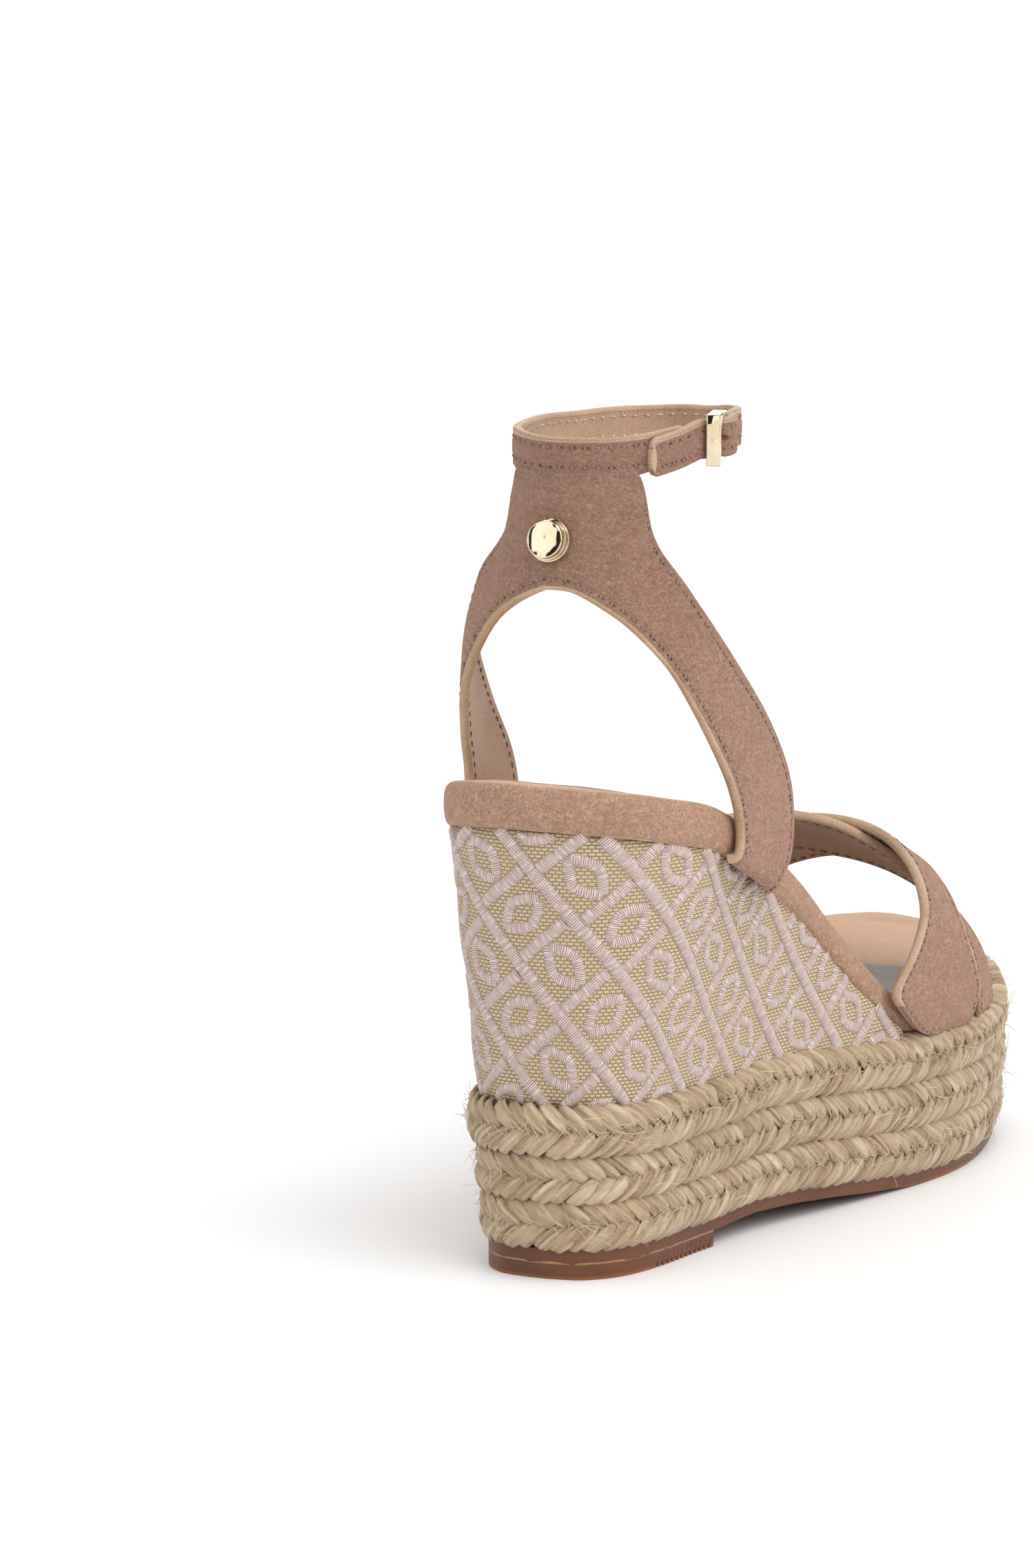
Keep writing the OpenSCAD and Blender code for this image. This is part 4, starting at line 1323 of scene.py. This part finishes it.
def buildCounter():
    grid = regrid(counterGrid(), edgeColumns, 12)
    relief = channelRelief(grid, counterShape["frontStitch"], soft=0.35)
    batch = Batch()
    top, normal = thickSheet(batch, grid, 0.05, counterShape["suede"], 0.4, relief)
    settle(batch.piece("counterSuede", suede), "legs", ["heel_counter"])
    batch = Batch()
    thickSheet(batch, grid, -counterShape["lining"], 0.0, 0.3)
    settle(batch.piece("counterLining", lining), "legs", ["heel_counter_lining"])
    batch = Batch()
    edgeBead(batch, grid, -counterShape["lining"], counterShape["suede"], counterShape["binding"], False,
             0.12, 0.5)
    settle(batch.piece("counterBinding", binding), "legs", ())
    batch = Batch()
    under = grid - normal * counterShape["lining"]
    open_ = grid[:, -1, 2] < counterShape["top"] - 3  # the front rows stop under the ankle strap
    sides = np.flatnonzero(np.diff(np.concatenate([[0], open_.astype(int), [0]])))
    for face, sign in ((top, 1), (under, -1)):
        distance = counterShape["archStitch"]
        stitchRow(batch, insetLine(face, distance), sign * normalLine(normal, face, distance))
        distance = counterShape["frontStitch"]
        for first, last in zip(sides[::2], sides[1::2]):
            stitchRow(batch, insetLine(face, distance, True)[first:last],
                      sign * normalLine(normal, face, distance, True)[first:last])
    settle(batch.piece("counterStitches", seamThread), "legs", ())


buildCounter()

# ---- ankle strap

strapShape = {"cx": -1.5, "cy": 32, "rx": 22, "ry": 35.5, "z": 180.8, "tall": 8, "from": 64, "to": -267,
              "suede": 1.2, "lining": 0.8, "stitchIn": 1.75, "lipReach": 46}
strapLift = [[-270, 2.2], [-250, 2.0], [-225, 1.2], [-190, -0.4], [-150, -0.9], [-100, -0.4], [-60, 0],
             [26, 0],
             [50, 0.8], [64, 1.5]]


strapMiddle = strapShape["z"] + 2.2 + strapShape["tall"] / 2


def ankleGrid():
    angles = np.radians(np.linspace(strapShape["from"], strapShape["to"], 210))
    heights = np.array([0, 0.5, 1.0, 1.5, 2.0, 2.6, 3.3, 4, 4.7, 5.4, 6.0, 6.5, 7.0, 7.5, 8.0])
    grid = np.zeros((len(angles), len(heights), 3))
    grid[..., 0] = (strapShape["cx"] + strapShape["rx"] * np.sin(angles))[:, None]
    grid[..., 1] = (strapShape["cy"] - strapShape["ry"] * np.cos(angles))[:, None]
    grid[..., 2] = strapShape["z"] + heights
    wave = np.array([noise.noise(Vector((a * 2.2, 3.1, 0))) for a in angles])
    grid[..., 2] += (wave * 0.35 + heightAt(strapLift, np.degrees(angles)))[:, None]
    return grid, np.degrees(angles)


def buildAnkle():
    grid, angles = ankleGrid()
    relief = channelRelief(grid, strapShape["stitchIn"], depth=0.26, wide=0.42, plump=0.16, soft=0.12)
    batch = Batch()
    top, normal = thickSheet(batch, grid, 0.05, strapShape["suede"], 0.35, relief)
    lip = abs(angles) < strapShape["lipReach"]
    bottom = grid[lip][:, 0] + normal[lip][:, 0] * 0.75
    bottom[:, 2] -= 0.1
    swell = np.interp(abs(angles[lip]), [0, strapShape["lipReach"] - 12, strapShape["lipReach"]],
                      [1, 0.95, 0.3])
    tube(batch, bottom, 1.0 * swell, 10, np.array([0, 0, 1.0]), flat=0.85)
    settle(batch.piece("ankleSuede", suede), "collar", ["ankle_strap"])
    batch = Batch()
    thickSheet(batch, grid, -strapShape["lining"], 0.0, 0.3)
    settle(batch.piece("ankleLining", lining), "collar", ["ankle_strap_lining"])
    batch = Batch()
    edgeBead(batch, grid, -strapShape["lining"], strapShape["suede"] - 0.1, 0.75, True, 0.14)
    settle(batch.piece("ankleBinding", binding), "collar", ())
    batch, inner = Batch(), Batch()
    for distance, fromEnd in ((strapShape["stitchIn"], False), (strapShape["stitchIn"], True)):
        stitchRow(batch, insetLine(top, distance, fromEnd), normalLine(normal, top, distance, fromEnd))
        under = grid - normal * strapShape["lining"]
        stitchRow(inner, insetLine(under, distance, fromEnd), -normalLine(normal, under, distance, fromEnd))
    settle(batch.piece("ankleStitches", seamThread), "collar", ())
    settle(inner.piece("ankleInnerStitches", paleThread), "collar", ())


buildAnkle()
print("collar built")

# ---- strap tail

tailShape = {"thick": 2.0, "stitchIn": 1.7, "tip": 1.1, "corner": 2.0, "slotX": 23,
             "slotFrom": 23.5, "slotTo": 28.1, "slotHalf": 0.9, "slotReach": 14}
tailRoute = [[22.6, 36.4, 2.2], [23.4, 34.6, 2.2], [24.2, 32.4, 2.2], [24.5, 30, 2.2], [24.2, 27.8, 2.2],
             [23.2, 25.6, 2.2], [21.9, 23.4, 2.2], [21, 21, 2.2], [20.6, 17.5, 1.7], [19.6, 13.5, 0.9],
             [17.6, 8.8, 0.0], [16, 5.6, -0.6]]


def tailGrid():
    route = evenly(smoothLine(tailRoute, 12), 84)
    run = lengths(route)
    heights = np.array([0, 0.4, 0.9, 1.4, 2.0, 2.6, 3.3, 4, 4.7, 5.4, 6.0, 6.6, 7.1, 7.6, 8.0])
    grid = np.zeros((len(route), len(heights), 3))
    grid[..., :2] = route[:, None, :2]
    short = np.clip(tailShape["corner"] - (run[-1] - run), 0, None)  # the free end's corners are rounded
    inset = tailShape["corner"] - np.sqrt(np.clip(tailShape["corner"] ** 2 - short ** 2, 0, None))
    inset = np.minimum(inset, tailShape["corner"] * 0.85)[:, None]
    grid[..., 2] = strapShape["z"] + inset + heights[None] * (1 - inset / 4) + route[:, 2:3]
    return grid, run


def buildTail():
    grid, run = tailGrid()
    half = tailShape["thick"] / 2
    relief = channelRelief(grid, tailShape["stitchIn"], depth=0.22, wide=0.4, plump=0.12, soft=0.12)
    batch = Batch()
    top, normal = thickSheet(batch, grid, -0.1, half, 0.4, relief)
    tail = batch.piece("tailSuede", suede)
    slotY = (tailShape["slotFrom"] + tailShape["slotTo"]) / 2
    slotLong = tailShape["slotTo"] - tailShape["slotFrom"]
    deselect()
    bpy.ops.mesh.primitive_cylinder_add(vertices=32, radius=0.5, depth=1, rotation=(0, math.pi / 2, 0),
                                        location=(tailShape["slotX"] * mm, slotY * mm, strapMiddle * mm),
                                        scale=(2 * tailShape["slotHalf"] * mm, slotLong * mm,
                                               tailShape["slotReach"] * mm))
    cutter = bpy.context.active_object
    bpy.ops.object.transform_apply(location=True, rotation=True, scale=True)
    batch = Batch()
    thickSheet(batch, grid, -half, -0.12, 0.35)
    tailUnder = batch.piece("tailLining", lining)
    for part in (tail, tailUnder):
        cut = part.modifiers.new("slot", "BOOLEAN")
        cut.object = cutter
        cut.operation = "DIFFERENCE"
        choose(part)
        bpy.ops.object.modifier_apply(modifier="slot")
    bpy.data.objects.remove(cutter)
    settle(tail, "collar", ["strap_tail"])
    settle(tailUnder, "collar", ())
    batch = Batch()
    edgeBead(batch, grid, -half, half - 0.1, 0.75, True, 0.12, 0.6)
    tip = np.transpose(grid[-14:], (1, 0, 2))  # the folded end: rows run up the strap, columns to the tip
    edgeBead(batch, tip, -half, half, tailShape["tip"], True, 0.16)
    front = np.transpose(grid[:10], (1, 0, 2))
    edgeBead(batch, front[::-1], -half, half, 0.8, False, 0.12)
    settle(batch.piece("tailBinding", binding), "collar", ())
    batch = Batch()
    stop = run[-1] - tailShape["tip"] - 1.0
    rows = np.where((run > 1.6) & (run < stop))[0]
    lower = insetLine(top, tailShape["stitchIn"])[rows]
    upper = insetLine(top, tailShape["stitchIn"], True)[rows]
    line = np.concatenate([lower, upper[::-1]])
    ups = np.concatenate([normalLine(normal, top, tailShape["stitchIn"])[rows],
                          normalLine(normal, top, tailShape["stitchIn"], True)[rows][::-1]])
    stitchRow(batch, line, ups)
    settle(batch.piece("tailStitches", seamThread), "collar", ())


buildTail()

# ---- metal

metal = {"barX": 22.0, "barY": 29.0, "outerX": 24.0, "outerY": 21.6, "halfTall": 5.85, "rail": 1.5,
         "deep": 3.3, "shift": 0.4, "eyeRadius": 1.2, "eyeThick": 0.34, "tipSteps": 3, "tipStep": 0.14,
         "tipTaper": 0.82,
         "outer": 1.4, "barRadius": 0.8, "prongRadius": 0.5, "tipX": 24.3, "tipY": 22.9, "studRadius": 4.95,
         "studZ": 166, "studY": -7.4, "studTilt": 14.2}


def buildBuckle():
    turn = math.atan2(metal["outerY"] - metal["barY"], metal["outerX"] - metal["barX"])
    long = math.hypot(metal["outerY"] - metal["barY"], metal["outerX"] - metal["barX"])
    rail, half = metal["rail"], metal["halfTall"]
    deselect()
    # the outer bar stands first, then its ends are drawn back into the two rails
    bpy.ops.mesh.primitive_cube_add(size=1)
    piece = bpy.context.active_object
    piece.scale = (metal["outer"] * mm, metal["deep"] * mm, 2 * half * mm)
    piece.location = (long * mm, metal["shift"] * mm, 0)
    bpy.ops.object.transform_apply(location=True, rotation=True, scale=True)
    bpy.ops.object.mode_set(mode="EDIT")
    for level in (half - rail, rail - half):
        bpy.ops.mesh.select_all(action="SELECT")
        bpy.ops.mesh.bisect(plane_co=(0, 0, level * mm), plane_no=(0, 0, 1))
    bpy.ops.mesh.select_all(action="DESELECT")
    bpy.ops.object.mode_set(mode="OBJECT")
    for face in piece.data.polygons:
        face.select = face.normal.x < -0.9 and abs(face.center.z) > (half - rail) * mm
    bpy.ops.object.mode_set(mode="EDIT")
    bpy.ops.mesh.select_mode(type="FACE")
    bpy.ops.mesh.extrude_region_move(TRANSFORM_OT_translate={"value": (-(long + 0.6) * mm, 0, 0)})
    bpy.ops.object.mode_set(mode="OBJECT")
    piece.data.transform(Matrix.Translation((metal["barX"] * mm, metal["barY"] * mm, strapMiddle * mm))
                         @ Matrix.Rotation(turn, 4, "Z"))
    finishHard(piece, "buckleRails", gold, 0.24, 3, 40)
    deselect()
    bpy.ops.mesh.primitive_cylinder_add(vertices=24, radius=metal["barRadius"] * mm,
                                        depth=2 * (half - 0.5) * mm,
                                        location=(metal["barX"] * mm, metal["barY"] * mm, strapMiddle * mm))
    bar = bpy.context.active_object
    bpy.ops.object.transform_apply(location=True, rotation=True, scale=True)
    bpy.ops.object.mode_set(mode="EDIT")
    bpy.ops.mesh.select_all(action="SELECT")
    bpy.ops.mesh.bisect(plane_co=(0, 0, strapMiddle * mm), plane_no=(0, 0, 1))
    bpy.ops.object.mode_set(mode="OBJECT")
    finishHard(bar, "buckleBar", gold, 0.12, 2, 50)
    choose(bar, piece)
    bpy.ops.object.join()
    piece.name = "buckleFrameGold"
    settle(piece, "buckle", ["buckle_frame"])

    reach = math.hypot(metal["tipX"] - metal["barX"], metal["tipY"] - metal["barY"])
    aim = math.atan2(metal["tipY"] - metal["barY"], metal["tipX"] - metal["barX"])
    deselect()
    bpy.ops.mesh.primitive_torus_add(major_radius=metal["eyeRadius"] * mm,
                                     minor_radius=metal["eyeThick"] * mm,
                                     major_segments=32, minor_segments=12)
    eye = bpy.context.active_object
    eye.data.transform(Matrix.Diagonal((1, 1, 1.7, 1)))
    bpy.ops.mesh.primitive_cylinder_add(vertices=20, radius=metal["prongRadius"] * mm,
                                        depth=(reach - 1.5) * mm,
                                        rotation=(0, math.pi / 2, 0),
                                        location=((reach + metal["eyeRadius"]) / 2 * mm, 0, 0))
    prong = bpy.context.active_object
    bpy.ops.object.transform_apply(location=True, rotation=True, scale=True)
    bpy.ops.object.mode_set(mode="EDIT")
    bpy.ops.mesh.select_all(action="DESELECT")
    bpy.ops.object.mode_set(mode="OBJECT")
    for face in prong.data.polygons:
        face.select = face.normal.x > 0.9
    bpy.ops.object.mode_set(mode="EDIT")
    for _ in range(metal["tipSteps"]):  # the tip narrows in steps
        bpy.ops.mesh.extrude_region_move(TRANSFORM_OT_translate={"value": (metal["tipStep"] * mm, 0, 0)})
        bpy.ops.transform.resize(value=(1, metal["tipTaper"], metal["tipTaper"]))
    bpy.ops.object.mode_set(mode="OBJECT")
    choose(eye, prong)
    bpy.ops.object.join()
    prong.data.transform(Matrix.Translation((metal["barX"] * mm, metal["barY"] * mm, strapMiddle * mm))
                         @ Matrix.Rotation(aim, 4, "Z"))
    finishHard(prong, "buckleProngGold", gold, 0.0, smoothAngle=60)
    settle(prong, "prong", ["buckle_prong"])


def buildStud():
    deselect()
    big, radius = metal["studRadius"], metal["studRadius"] - 0.35
    bpy.ops.mesh.primitive_circle_add(vertices=72, radius=radius * mm, fill_type="NGON")
    stud = bpy.context.active_object
    bpy.ops.object.mode_set(mode="EDIT")
    bpy.ops.mesh.select_all(action="SELECT")
    steps = [(0.0, big), (0.3, big), (0.8, big), (0.12, big - 0.12), (0.0, big - 0.3), (0.9, big - 0.3),
             (0.12, big - 0.42), (0.0, big - 0.6), (1.25, big - 0.6), (0.22, big - 0.85), (-0.08, big - 1.0)]
    for up, wanted in steps:
        bpy.ops.mesh.extrude_region_move(TRANSFORM_OT_translate={"value": (0, 0, up * mm)})
        bpy.ops.transform.resize(value=(wanted / radius, wanted / radius, 1))
        radius = wanted
    bpy.ops.mesh.inset(thickness=1.2 * mm)
    bpy.ops.mesh.inset(thickness=1.2 * mm)
    bpy.ops.mesh.select_all(action="SELECT")
    bpy.ops.mesh.normals_make_consistent(inside=False)
    bpy.ops.object.mode_set(mode="OBJECT")
    tilt = Matrix.Rotation(math.radians(90 - metal["studTilt"]), 4, "X")
    base = Matrix.Translation((counterShape["middle"] * mm, metal["studY"] * mm, metal["studZ"] * mm))
    stud.data.transform(base @ tilt @ Matrix.Translation((0, 0, 2.45 * mm)))
    finishHard(stud, "studGold", gold, 0.07, 2, 35)
    settle(stud, "collar", ["stud_cap"])


def buildLoop():
    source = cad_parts["buckle_loop"]
    mesh = source.data.copy()
    loop = bpy.data.objects.new("buckleLoopSuede", mesh)
    bpy.context.scene.collection.objects.link(loop)
    choose(loop)
    bpy.ops.object.mode_set(mode="EDIT")
    bpy.ops.mesh.select_all(action="SELECT")
    bpy.ops.mesh.remove_doubles(threshold=0.00001)
    bpy.ops.object.mode_set(mode="OBJECT")
    finishHard(loop, "buckleLoopSuede", suede, 0.12, 2, 40)
    settle(loop, "collar", ["buckle_loop"])


buildBuckle()
buildStud()
buildLoop()
print("metal built")

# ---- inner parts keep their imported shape

innerFinishes = {
    "platform_core": coreFinish("corkCore", (176, 132, 92), (120, 84, 56), 420),
    "wedge_core": coreFinish("corkWedge", (184, 142, 102), (126, 90, 60), 380),
    "shank": coreFinish("springSteel", (168, 170, 174), (150, 152, 156), 900, 1.0, 0.35),
    "insole_board": coreFinish("fibreBoard", (196, 170, 132), (170, 142, 104), 700),
    "footbed_foam": coreFinish("openFoam", (236, 228, 206), (214, 204, 180), 900),
    "stud_rivet": gold}
for nodeName, innerFinish in innerFinishes.items():
    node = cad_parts[nodeName]
    node.data.materials.clear()
    node.data.materials.append(innerFinish.material)


def layFloor():
    deselect()
    bpy.ops.mesh.primitive_plane_add(size=40, location=(0, 0, 0))
    floor = bpy.context.active_object
    floor.name = "floor"
    f = Finish("paleFloor", Roughness=0.6, Specular_IOR_Level=0.2)
    level = studio["floorTone"]
    f.shader.inputs["Base Color"].default_value = (level, level, level, 1)
    floor.data.materials.append(f.material)


layFloor()
deselect()
